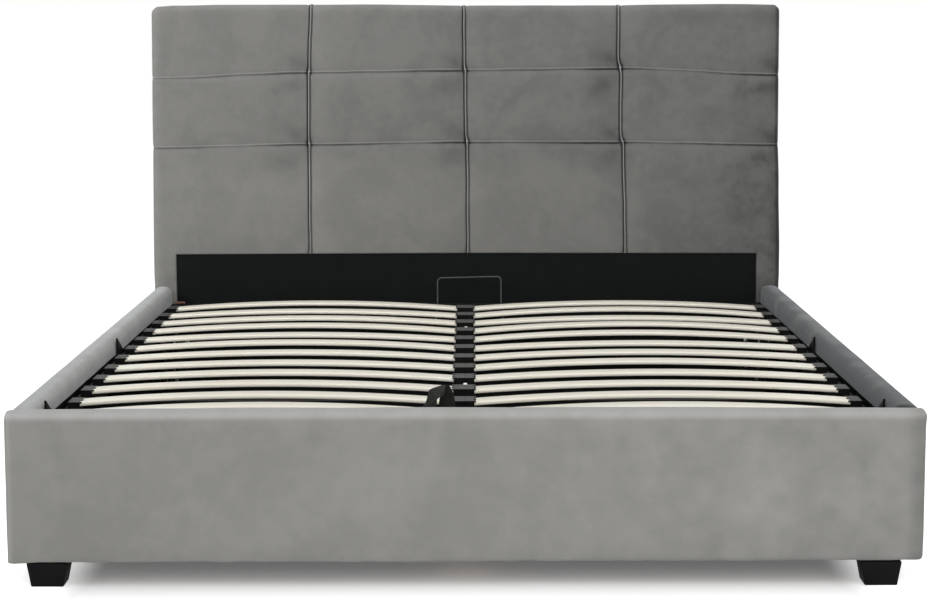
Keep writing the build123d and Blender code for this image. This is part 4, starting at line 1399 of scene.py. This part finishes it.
@dataclass
class SlatHolders:
    """Black plastic pockets for the slats' ends, with scalloped lips."""

    node: str
    name: str
    mouths: tuple[tuple[int, float], ...]
    reach: float = 0.0275
    # Painted light: how much of the lighter colour the top faces get, and how close to the top a vertex must lie to
    # count.
    painted_top_light: float = 0.0
    painted_top_skin: float = 0.0004
    sunk: float = 0.0
    rows: int = 12
    width: float = 0.0593
    base: float = 0.003
    wall: float = 0.003
    roof: float = 0.0026
    end_wall: float = 0.010
    middle_wall: float = 0.003
    recess: float = 0.004
    scallop: float = 0.012
    bite: float = 0.0058
    edge_radius: float = 0.0009
    arc_steps: int = 7

    def build(self) -> Piece:
        """All the holders of one tube as one piece.

        Returns:
            The holders' object.
        """
        low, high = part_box(self.node)
        high.z -= self.sunk
        first, last = low.y + self.width / 2, high.y - self.width / 2
        mesh = bmesh.new()
        for row in range(self.rows):
            y = first + (last - first) * row / (self.rows - 1)
            for outwards, mouth in self.mouths:
                self.pocket(mesh, outwards, mouth, y, low, high)
        # Painted light: the top faces get the lighter colour.
        painted_top_light = mesh.verts.layers.float.new("painted_top_light")
        for vertex in mesh.verts:
            vertex[painted_top_light] = self.painted_top_light if vertex.co.z > high.z - self.painted_top_skin else 0.0
        return place_piece(self.name, mesh, HOLDER_PLASTIC, Body.SLAT_FRAME, (self.node,), 30.0)

    def pocket(self, mesh: Mesh, outwards: int, mouth: float, y: float, low: Vector, high: Vector) -> None:
        """Adds one pocket, which ends at the middle of the bed where its tube stands there.

        Args:
            mesh: The mesh to add to.
            outwards: 1 where the pocket deepens towards +X, else -1.
            mouth: X of its open edge.
            y: Middle of the slat.
            low: Lowest corner of all holders.
            high: Highest corner of all holders.
        """
        single = len(self.mouths) == 1
        end = mouth + outwards * self.reach if single else 0.0
        stop = end - outwards * self.end_wall if single else -outwards * self.middle_wall
        half, inner = self.width / 2, self.width / 2 - self.wall
        start, ceiling = low.z + self.base / 2, high.z - self.roof / 2
        for near, from_y, to_y, from_z, to_z in (
                (mouth, -half, half, low.z, low.z + self.base),
                (stop, -half + self.wall / 2, half - self.wall / 2, start, ceiling),
                (mouth + outwards * self.recess, -half, -inner, start, ceiling),
                (mouth + outwards * self.recess, inner, half, start, ceiling)):
            rounded_block(mesh, Vector((near, y + from_y, from_z)), Vector((end, y + to_y, to_z)), self.edge_radius, 1)
        outline = [(x, y + across, high.z - self.roof) for x, across in self.lip(outwards, mouth, end)]
        plate(mesh, outline, Vector((0, 0, self.roof)), self.edge_radius, 2)

    def lip(self, outwards: int, mouth: float, end: float) -> list[Pair]:
        """Outline of a pocket's roof, with two scallops in its open edge.

        Args:
            outwards: 1 where the pocket deepens towards +X, else -1.
            mouth: X of its open edge.
            end: X of its closed edge.

        Returns:
            Corners with their X and their distance from the slat's middle.
        """
        half = self.width / 2
        rim = self.scallop - self.bite
        reach = math.sqrt(self.scallop ** 2 - rim ** 2)
        outline = [(end, -half), (mouth, -half)]
        for centre in (-half / 2, half / 2):
            for step in range(self.arc_steps + 1):
                offset = reach * (2 * step / self.arc_steps - 1)
                outline.append((mouth + outwards * (math.sqrt(self.scallop ** 2 - offset ** 2) - rim), centre + offset))
        return [*outline, (mouth, half), (end, half)]


@dataclass
class SteelFrame:
    """Black tubes of the slat frame with welds and bright bolts."""

    tubes: tuple[str, ...] = (
        "side_tube_left", "side_tube_right", "foot_tube", "head_tube", "centre_tube", "cross_bars")
    tube_round: float = 0.0009
    bolt_round: float = 0.0004
    weld_radius: float = 0.0028
    weld_flatness: float = 0.35
    weld_half: float = 0.009
    tube_half: float = 0.01
    centre_reach: float = 0.02
    dome_rise: float = 0.0106
    dome_radius: float = 0.006
    dome_taper: float = 0.35

    def build(self) -> None:
        """Makes the tubes, bars and bolts."""
        for tube in self.tubes:
            dress_node(f"frame_{tube}", tube, POWDER_COAT, Body.SLAT_FRAME, self.tube_round)
        self.bolts()
        self.welds()

    def bolts(self) -> Piece:
        """The bright bolts, with tall domed heads on the centre tube.

        Returns:
            The bolts' object.
        """
        mesh = node_mesh("frame_bolts", self.bolt_round)
        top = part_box("frame_centre_tube")[1].z
        heads = [vert for vert in mesh.verts if abs(vert.co.x) < self.centre_reach and vert.co.z > top + 0.0002]
        middle = sum(vert.co.y for vert in heads) / len(heads)
        for ahead in (True, False):
            head = [vert for vert in heads if (vert.co.y < middle) is ahead]
            centre = (min(vert.co.y for vert in head) + max(vert.co.y for vert in head)) / 2
            reach = max(math.hypot(vert.co.x, vert.co.y - centre) for vert in head)
            rise = max(vert.co.z for vert in head) - top
            for vert in head:
                level = (vert.co.z - top) / rise
                share = self.dome_radius / reach * (1 - self.dome_taper * level ** 3)
                vert.co.x *= share
                vert.co.y = centre + (vert.co.y - centre) * share
                vert.co.z = top + self.dome_rise * level
        return place_piece("bright_bolts", mesh, ZINC, Body.SLAT_FRAME, ("frame_bolts",), 35.0)

    def welds(self) -> None:
        """Short weld beads along the top of each joint of two tubes."""
        foot_low, foot_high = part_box("frame_foot_tube")
        head_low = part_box("frame_head_tube")[0]
        centre_low, centre_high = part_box("frame_centre_tube")
        mesh = bmesh.new()
        top = foot_high.z
        for y in (foot_low.y + self.tube_half, head_low.y + self.tube_half):
            for side in Side:
                start = Vector((side.value * foot_high.x, y - self.weld_half, top))
                self.bead(mesh, start, Y_AXIS * 2 * self.weld_half)
        for y in (foot_high.y, head_low.y):
            self.bead(mesh, Vector((centre_low.x, y, top)), X_AXIS * (centre_high.x - centre_low.x))
        place_piece("weld_beads", mesh, POWDER_COAT, Body.SLAT_FRAME)

    def bead(self, mesh: Mesh, start: Vector, run: Vector) -> None:
        """Adds one bead of overlapping drops.

        Args:
            mesh: The mesh to add to.
            start: Its first end.
            run: From its first end to its last.
        """
        count = max(3, round(run.length / self.weld_radius))
        for step in range(count + 1):
            spot = Matrix.Translation(start + run * step / count) @ Matrix.Diagonal((1, 1, self.weld_flatness, 1))
            bmesh.ops.create_uvsphere(mesh, u_segments=8, v_segments=5, radius=self.weld_radius, matrix=spot)


@dataclass
class StopBar:
    """Bent wire at the head end that stops the mattress, on two flat eyes."""

    edge_radius: float = 0.0004
    slimming: float = 0.0009
    tilt: float = 0.002
    eye_reach: Pair = (0.019, 0.024)
    bend_start: float = 0.008

    def build(self) -> Piece:
        """The wire and its eyes, a little higher at its right corner.

        Returns:
            The bar's object.
        """
        low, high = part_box("mattress_stop_bar")
        mesh = node_mesh("mattress_stop_bar", self.edge_radius, 1)
        mesh.normal_update()
        middle, half = (low.x + high.x) / 2, (high.x - low.x) / 2
        moves = [vertex.normal * self.slimming * smooth_share(vertex.co.y - low.y, *self.eye_reach)
                 for vertex in mesh.verts]
        for vertex, move in zip(mesh.verts, moves):
            vertex.co -= move
            raised = smooth_share(vertex.co.z, low.z + self.bend_start, high.z)
            vertex.co.z += self.tilt * raised * (vertex.co.x - middle) / half
        return place_piece("stop_bar", mesh, WIRE_COAT, Body.SLAT_FRAME, ("mattress_stop_bar",), 35.0)


@dataclass
class SideFins:
    """Upright blades on the side tubes that keep the mattress in place, each on a small foot.

    The outline holds places behind a blade's near edge, with heights above the floor.
    """

    thickness: float = 0.0042
    outer: float = 0.7966
    lean: float = 0.0020
    edge_radius: float = 0.0006
    near_edges: Knots = ((-0.950, 0.0022), (-0.050, 0.0))
    outline: Knots = (
        (0.0, 0.2890), (0.0, 0.3286), (0.0025, 0.3278), (0.0130, 0.3224), (0.0260, 0.3158), (0.0480, 0.3060),
        (0.0620, 0.2966), (0.0720, 0.2890))
    tab_reach: Pair = (0.006, 0.068)
    tab_play: float = 0.0002
    tab_inset: float = 0.0008
    tab_overlap: float = 0.001
    foot: Vector = Vector((0.014, 0.013, 0.0028))
    foot_lead: float = 0.001
    foot_radius: float = 0.0008

    def build(self) -> Piece:
        """All the fins as one piece.

        Returns:
            The fins' object.
        """
        mesh = bmesh.new()
        for side in Side:
            for near_edge, taller in self.near_edges:
                self.blade(mesh, side, near_edge, taller)
        return place_piece("side_fins", mesh, HOLDER_PLASTIC, Body.SLAT_FRAME, ("mattress_guides",))

    def blade(self, mesh: Mesh, side: Side, near_edge: float, taller: float) -> None:
        """Adds one blade with its tab beside the tube and its foot on it.

        Args:
            mesh: The mesh to add to.
            side: The tube it stands on.
            near_edge: Y of its upright edge.
            taller: Height it has beyond the outline.
        """
        out = side.value
        tube_low, tube_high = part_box("frame_side_tube_left")
        face, top = abs(tube_low.x), tube_high.z
        base = self.outline[0][1]
        peak = max(height for _, height in self.outline)
        corners = []
        for behind, height in self.outline:
            share = (height - base) / (peak - base)
            corners.append((out * (self.outer + self.lean * share), near_edge + behind, height + taller * share))
        plate(mesh, corners, Vector((-out * self.thickness, 0, 0)), self.edge_radius, 1)
        first, last = self.tab_reach
        rounded_block(mesh, Vector((out * (face + self.tab_play), near_edge + first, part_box("mattress_guides")[0].z)),
                      Vector((out * (self.outer - self.tab_inset), near_edge + last, base + self.tab_overlap)),
                      self.foot_radius)
        rounded_block(mesh, Vector((out * self.outer, near_edge - self.foot_lead, top)),
                      Vector((out * (self.outer - self.foot.x), near_edge + self.foot.y, top + self.foot.z)),
                      self.foot_radius)


@dataclass
class PullStrap:
    """Loop of wide webbing on the foot tube, folded so that each leg turns its face to the foot end."""

    thickness: float = 0.0020
    width_steps: int = 8
    span_steps: int = 4
    sag: float = 0.0012
    sag_height: float = 0.03
    weave_repeats: float = 5.0
    stitch_level: float = 1.15
    stitch_half: Vector = Vector((0.0004, 0.001575, 0.0003))
    stitch_count: int = 8
    stitch_inset: float = 0.004
    stitch_end: float = 0.003
    front: tuple[Triple, ...] = (
        (-0.0860, -1.0290, 0.0), (-0.0760, -1.0290, 0.0), (-0.0620, -1.0280, 0.0030), (-0.0560, -1.0260, 0.0200),
        (-0.0529, -1.0250, 0.0432), (-0.0529, -1.0245, 0.0560), (-0.0480, -1.0255, 0.0616), (-0.0405, -1.0265, 0.0646),
        (-0.0375, -1.0275, 0.0725), (-0.0346, -1.0285, 0.0842), (-0.0272, -1.0280, 0.0822), (-0.0207, -1.0265, 0.0677),
        (-0.0178, -1.0255, 0.0545), (-0.0180, -1.0255, 0.0424), (-0.0190, -1.0265, 0.0200), (-0.0200, -1.0280, 0.0030),
        (-0.0170, -1.0290, 0.0), (-0.0120, -1.0290, 0.0))
    back: tuple[Triple, ...] = (
        (-0.0860, -0.9910, 0.0), (-0.0840, -0.9910, 0.0), (-0.0835, -0.9930, 0.0030), (-0.0815, -0.9970, 0.0240),
        (-0.0800, -0.9985, 0.0381), (-0.0732, -0.9980, 0.0463), (-0.0675, -0.9965, 0.0672), (-0.0634, -0.9950, 0.0718),
        (-0.0493, -0.9920, 0.0765), (-0.0371, -0.9910, 0.0791), (-0.0352, -0.9915, 0.0725), (-0.0415, -0.9930, 0.0599),
        (-0.0458, -0.9960, 0.0528), (-0.0467, -0.9990, 0.0381), (-0.0440, -0.9960, 0.0200), (-0.0370, -0.9920, 0.0030),
        (-0.0280, -0.9910, 0.0), (-0.0120, -0.9910, 0.0))

    def edge(self, knots: Sequence[Triple], base: float) -> list[Vector]:
        """Smooth line through the knots of one edge of the webbing.

        Args:
            knots: Places along the edge, with heights above the base.
            base: Height of the base.

        Returns:
            Points close together.
        """
        places = [Vector((x, y, base + z)) for x, y, z in knots]
        points = []
        for index in range(len(places) - 1):
            before, start = places[max(index - 1, 0)], places[index]
            end, after = places[index + 1], places[min(index + 2, len(places) - 1)]
            for step in range(self.span_steps):
                t = step / self.span_steps
                points.append(0.5 * (2 * start + (end - before) * t
                                     + (2 * before - 5 * start + 4 * end - after) * t * t
                                     + (3 * start - before - 3 * end + after) * t ** 3))
        return [*points, places[-1]]

    def build(self) -> None:
        """Makes the band and its stitches."""
        low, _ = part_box("pull_strap")
        base = low.z + self.thickness / 2
        front, back = self.edge(self.front, base), self.edge(self.back, base)
        last = len(front) - 1
        mesh = bmesh.new()
        turn = Matrix.Identity(4)
        bmesh.ops.create_grid(mesh, x_segments=last, y_segments=self.width_steps, size=1, matrix=turn, calc_uvs=True)
        uv = mesh.loops.layers.uv.verify()
        for face in mesh.faces:
            for loop in face.loops:
                loop[uv].uv = ((loop.vert.co.x + 1) / 2 * self.weave_repeats, (loop.vert.co.y + 1) / 2)
        for vertex in mesh.verts:
            index = round((vertex.co.x + 1) / 2 * last)
            share = (vertex.co.y + 1) / 2
            spot = front[index].lerp(back[index], share)
            lift = smooth_share(spot.z, base, base + self.sag_height)
            spot.z -= self.sag * lift * 4 * share * (1 - share)
            vertex.co = spot
        bmesh.ops.recalc_face_normals(mesh, faces=mesh.faces)
        bmesh.ops.solidify(mesh, geom=[*mesh.verts, *mesh.edges, *mesh.faces], thickness=self.thickness)
        place_piece("webbing_loop", mesh, WEBBING, Body.SLAT_FRAME, ("pull_strap",), 50.0)
        self.stitches(low.z + self.thickness * self.stitch_level)

    def stitches(self, top: float) -> None:
        """Rows of stitches across each foot of the band.

        Args:
            top: Height of the webbing's upper side.
        """
        mesh = bmesh.new()
        front, back = self.front[0][1] + self.stitch_inset, self.back[0][1] - self.stitch_inset
        for place in (self.front[0][0] + self.stitch_inset, self.front[-1][0] - self.stitch_end):
            for step in range(self.stitch_count):
                spot = Vector((place, front + (back - front) * step / (self.stitch_count - 1), top))
                block(mesh, spot - self.stitch_half, spot + self.stitch_half)
        place_piece("webbing_stitches", mesh, THREAD, Body.SLAT_FRAME)


@dataclass
class LiftGear:
    """Plates, pivots and gas struts of the lift."""

    plate_radius: float = 0.0005
    bolt_radius: float = 0.0006
    cylinder_radius: float = 0.0008

    def build(self) -> None:
        """Makes the steel of the lift."""
        dress_node("lift_plates", "hinge_plates", POWDER_COAT, Body.BASE, self.plate_radius)
        dress_node("pivot_bolts", "pivot_shoulder_bolts", ZINC, Body.BASE, self.bolt_radius)
        for side in Side:
            for kind, word, finish, radius in (("cylinder", "strut", POWDER_COAT, self.cylinder_radius),
                                               ("rod", "rod", CHROME, self.plate_radius)):
                name = f"{kind}_{side.label}"
                dress_node(f"gas_{name}", name, finish, Body(f"{word}_{side.label}"), radius)


@dataclass
class StorageBox:
    """Floor, battens, legs, brackets and fixings inside the bed's box."""

    fittings: tuple[tuple[str, str, Finish, float], ...] = (
        ("floor_panels", "box_floor", LINING, 0.0008),
        ("support_battens", "battens", TIMBER, 0.0012),
        ("floor_beam", "middle_beam", TIMBER, 0.0012),
        ("floor_beam_legs", "beam_legs", TIMBER, 0.0015),
        ("corner_brackets", "angle_brackets", POWDER_COAT, 0.0005),
        ("assembly_bolts", "bed_bolts", ZINC, 0.0005))
    boards: tuple[tuple[str, str], ...] = (
        ("footboard_board", "foot_board"), ("side_rail_board_left", "rail_board_left"),
        ("side_rail_board_right", "rail_board_right"))
    board_radius: float = 0.001
    corner_block: tuple[Vector, Vector] = (Vector((-0.7935, 0.977, 0.262)), Vector((-0.767, 0.993, 0.2885)))
    block_radius: float = 0.0012

    def build(self) -> None:
        """Makes everything in the box that isn't upholstered."""
        for node, name, finish, radius in self.fittings:
            dress_node(node, name, finish, Body.BASE, radius)
        mesh = bmesh.new()
        rounded_block(mesh, *self.corner_block, self.block_radius)
        place_piece("corner_block", mesh, RED_TIMBER, Body.BASE)
        for node, name in self.boards:
            dress_node(node, name, TIMBER, Body.BASE, self.board_radius)


@dataclass(frozen=True)
class Lamp:
    """A square soft lamp that points at a target, with its watts, its side and its spread in degrees."""

    name: str
    place: Triple
    target: Triple
    power: float
    size: float
    spread: float = 180.0

    def build(self) -> Piece:
        """Hangs the lamp.

        Returns:
            The lamp.
        """
        data = bpy.data.lights.new(self.name, "AREA")
        data.energy, data.size, data.spread = self.power, self.size, math.radians(self.spread)
        place = Vector(self.place)
        turn = (Vector(self.target) - place).to_track_quat("-Z", "Y").to_matrix().to_4x4()
        return put(self.name, data, Matrix.Translation(place) @ turn)


@dataclass
class Studio:
    """Pale floor, soft light and the camera of the photograph."""

    camera_place: Vector = Vector((0.0122, -5.3106, 1.0388))
    pitch: float = 6.852
    yaw: float = 0.1085
    roll: float = -0.132
    lens: float = 89.73
    sensor: float = 36.0
    floor_size: float = 30.0
    floor_shade: float = 0.95
    near_glow: float = 0.118
    far_glow: float = 0.7
    glow_across: Pair = (0.690, 0.790)
    glow_along: Pair = (1.0, 1.45)
    sky: float = 0.42
    lamps: tuple[Lamp, ...] = (
        Lamp("key_light", (0.6, -3.6, 2.7), (0, -0.2, 0.4), 70.0, 4.0),
        Lamp("top_light", (0, 0, 4.6), (0, 0.01, 0), 46.0, 3.0),
        Lamp("side_light", (-3.1, -0.9, 2.0), (-0.1, 1.05, 0.85), 7.0, 0.9, 62.0),
        Lamp("front_light", (0.3, -8.0, 1.7), (0, 0, 0.4), 120.0, 3.0))

    def build(self) -> None:
        """Makes the floor, the sky, the lamps and the camera."""
        self.floor()
        self.world()
        for lamp in self.lamps:
            lamp.build()
        data = bpy.data.cameras.new("photo_camera")
        data.sensor_width, data.lens = self.sensor, self.lens
        place = Matrix.Translation(self.camera_place)
        for angle, axis in ((self.yaw, "Z"), (90 - self.pitch, "X"), (self.roll, "Z")):
            place = place @ Matrix.Rotation(math.radians(angle), 4, axis)
        bpy.context.scene.camera = put("photo_camera", data, place)
        bpy.context.scene.view_settings.view_transform = "Standard"

    def floor(self) -> None:
        """Adds the pale floor, which shows white to the camera and keeps the shadow."""
        mesh = bmesh.new()
        bmesh.ops.create_grid(mesh, x_segments=2, y_segments=2, size=self.floor_size / 2)
        data = bpy.data.meshes.new("studio_floor")
        mesh.to_mesh(data)
        mesh.free()
        material = bpy.data.materials.new("pale_floor")
        material.use_nodes = True
        tree = Tree(material.node_tree)
        nodes = material.node_tree.nodes
        nodes.remove(nodes["Principled BSDF"])
        diffuse = tree.add("BsdfDiffuse", {"Color": (*grey(self.floor_shade), 1)}).outputs["BSDF"]
        strength = tree.math("MULTIPLY", self.glow(tree), tree.seen_rays())
        glow = tree.add("Emission", {"Strength": strength}).outputs["Emission"]
        both = tree.add("AddShader", {0: diffuse, 1: glow}).outputs["Shader"]
        tree.feed(nodes["Material Output"].inputs["Surface"], both)
        data.materials.append(material)
        put("studio_floor", data, Matrix.Identity(4))

    def glow(self, tree: Tree) -> Socket:
        """Glow of the floor: faint under the bed and full beside and before it.

        Args:
            tree: The floor's tree.

        Returns:
            The glow.
        """
        place = tree.add("TexCoord").outputs["Object"]
        away = tree.add("VectorMath", {0: place}, operation="ABSOLUTE").outputs["Vector"]
        parts = tree.add("SeparateXYZ", {"Vector": away}).outputs
        reaches = (tree.spread(parts[axis], self.near_glow, self.far_glow, start, end, "SMOOTHSTEP")
                   for axis, (start, end) in (("X", self.glow_across), ("Y", self.glow_along)))
        return tree.math("MAXIMUM", *reaches)

    def world(self) -> None:
        """Adds the even sky, white where it is seen."""
        world = bpy.data.worlds.new("studio_sky")
        world.use_nodes = True
        bpy.context.scene.world = world
        tree = Tree(world.node_tree)
        background = world.node_tree.nodes["Background"].inputs
        tree.feed(background["Color"], (1, 1, 1, 1))
        tree.feed(background["Strength"], tree.spread(tree.seen_rays(), self.sky, 1.0))


def main() -> None:
    """Builds the bed's pieces in order, and then the studio."""
    logging.basicConfig(level=logging.INFO, format="%(message)s")
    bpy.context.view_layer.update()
    pieces = (
        EndRail("footboard_cover", "footboard_velvet", seed=1.7, mottle=0.06),
        # The rails' values paint light and shade: the left rail lighter, the right rail darker, both darker on the
        # inner face.
        SoftRail("side_rail_cover_left", "rail_velvet_left", seed=4.9, nap=0.77, inner_nap=0.62, low_painted_shade=0.05,
                 mottle=0.09, ripple=0.0005),
        SoftRail("side_rail_cover_right", "rail_velvet_right", seed=13.1, nap=0.055, inner_nap=-0.02, mottle=0.085,
                 ripple=0.0005, inner_side=Side.RIGHT, outward=0.003),
        RailLining(), HeadboardPad(), HeadboardBoards(), Feet(), SlatRow(Side.LEFT), SlatRow(Side.RIGHT),
        # The holders' top faces get painted light, most on the centre holders.
        SlatHolders("slat_holders_left", "holders_left", ((-1, -0.7565),), painted_top_light=0.6, sunk=0.0011),
        SlatHolders("slat_holders_right", "holders_right", ((1, 0.7565),), painted_top_light=0.6, sunk=0.0011),
        SlatHolders("slat_holders_centre", "holders_centre", ((-1, 0.0222), (1, -0.0272)), recess=0.0032, painted_top_light=1.0),
        SteelFrame(), StopBar(), SideFins(), PullStrap(), LiftGear(), StorageBox(), Studio())
    for piece in pieces:
        piece.build()


if __name__ == "__main__":
    main()
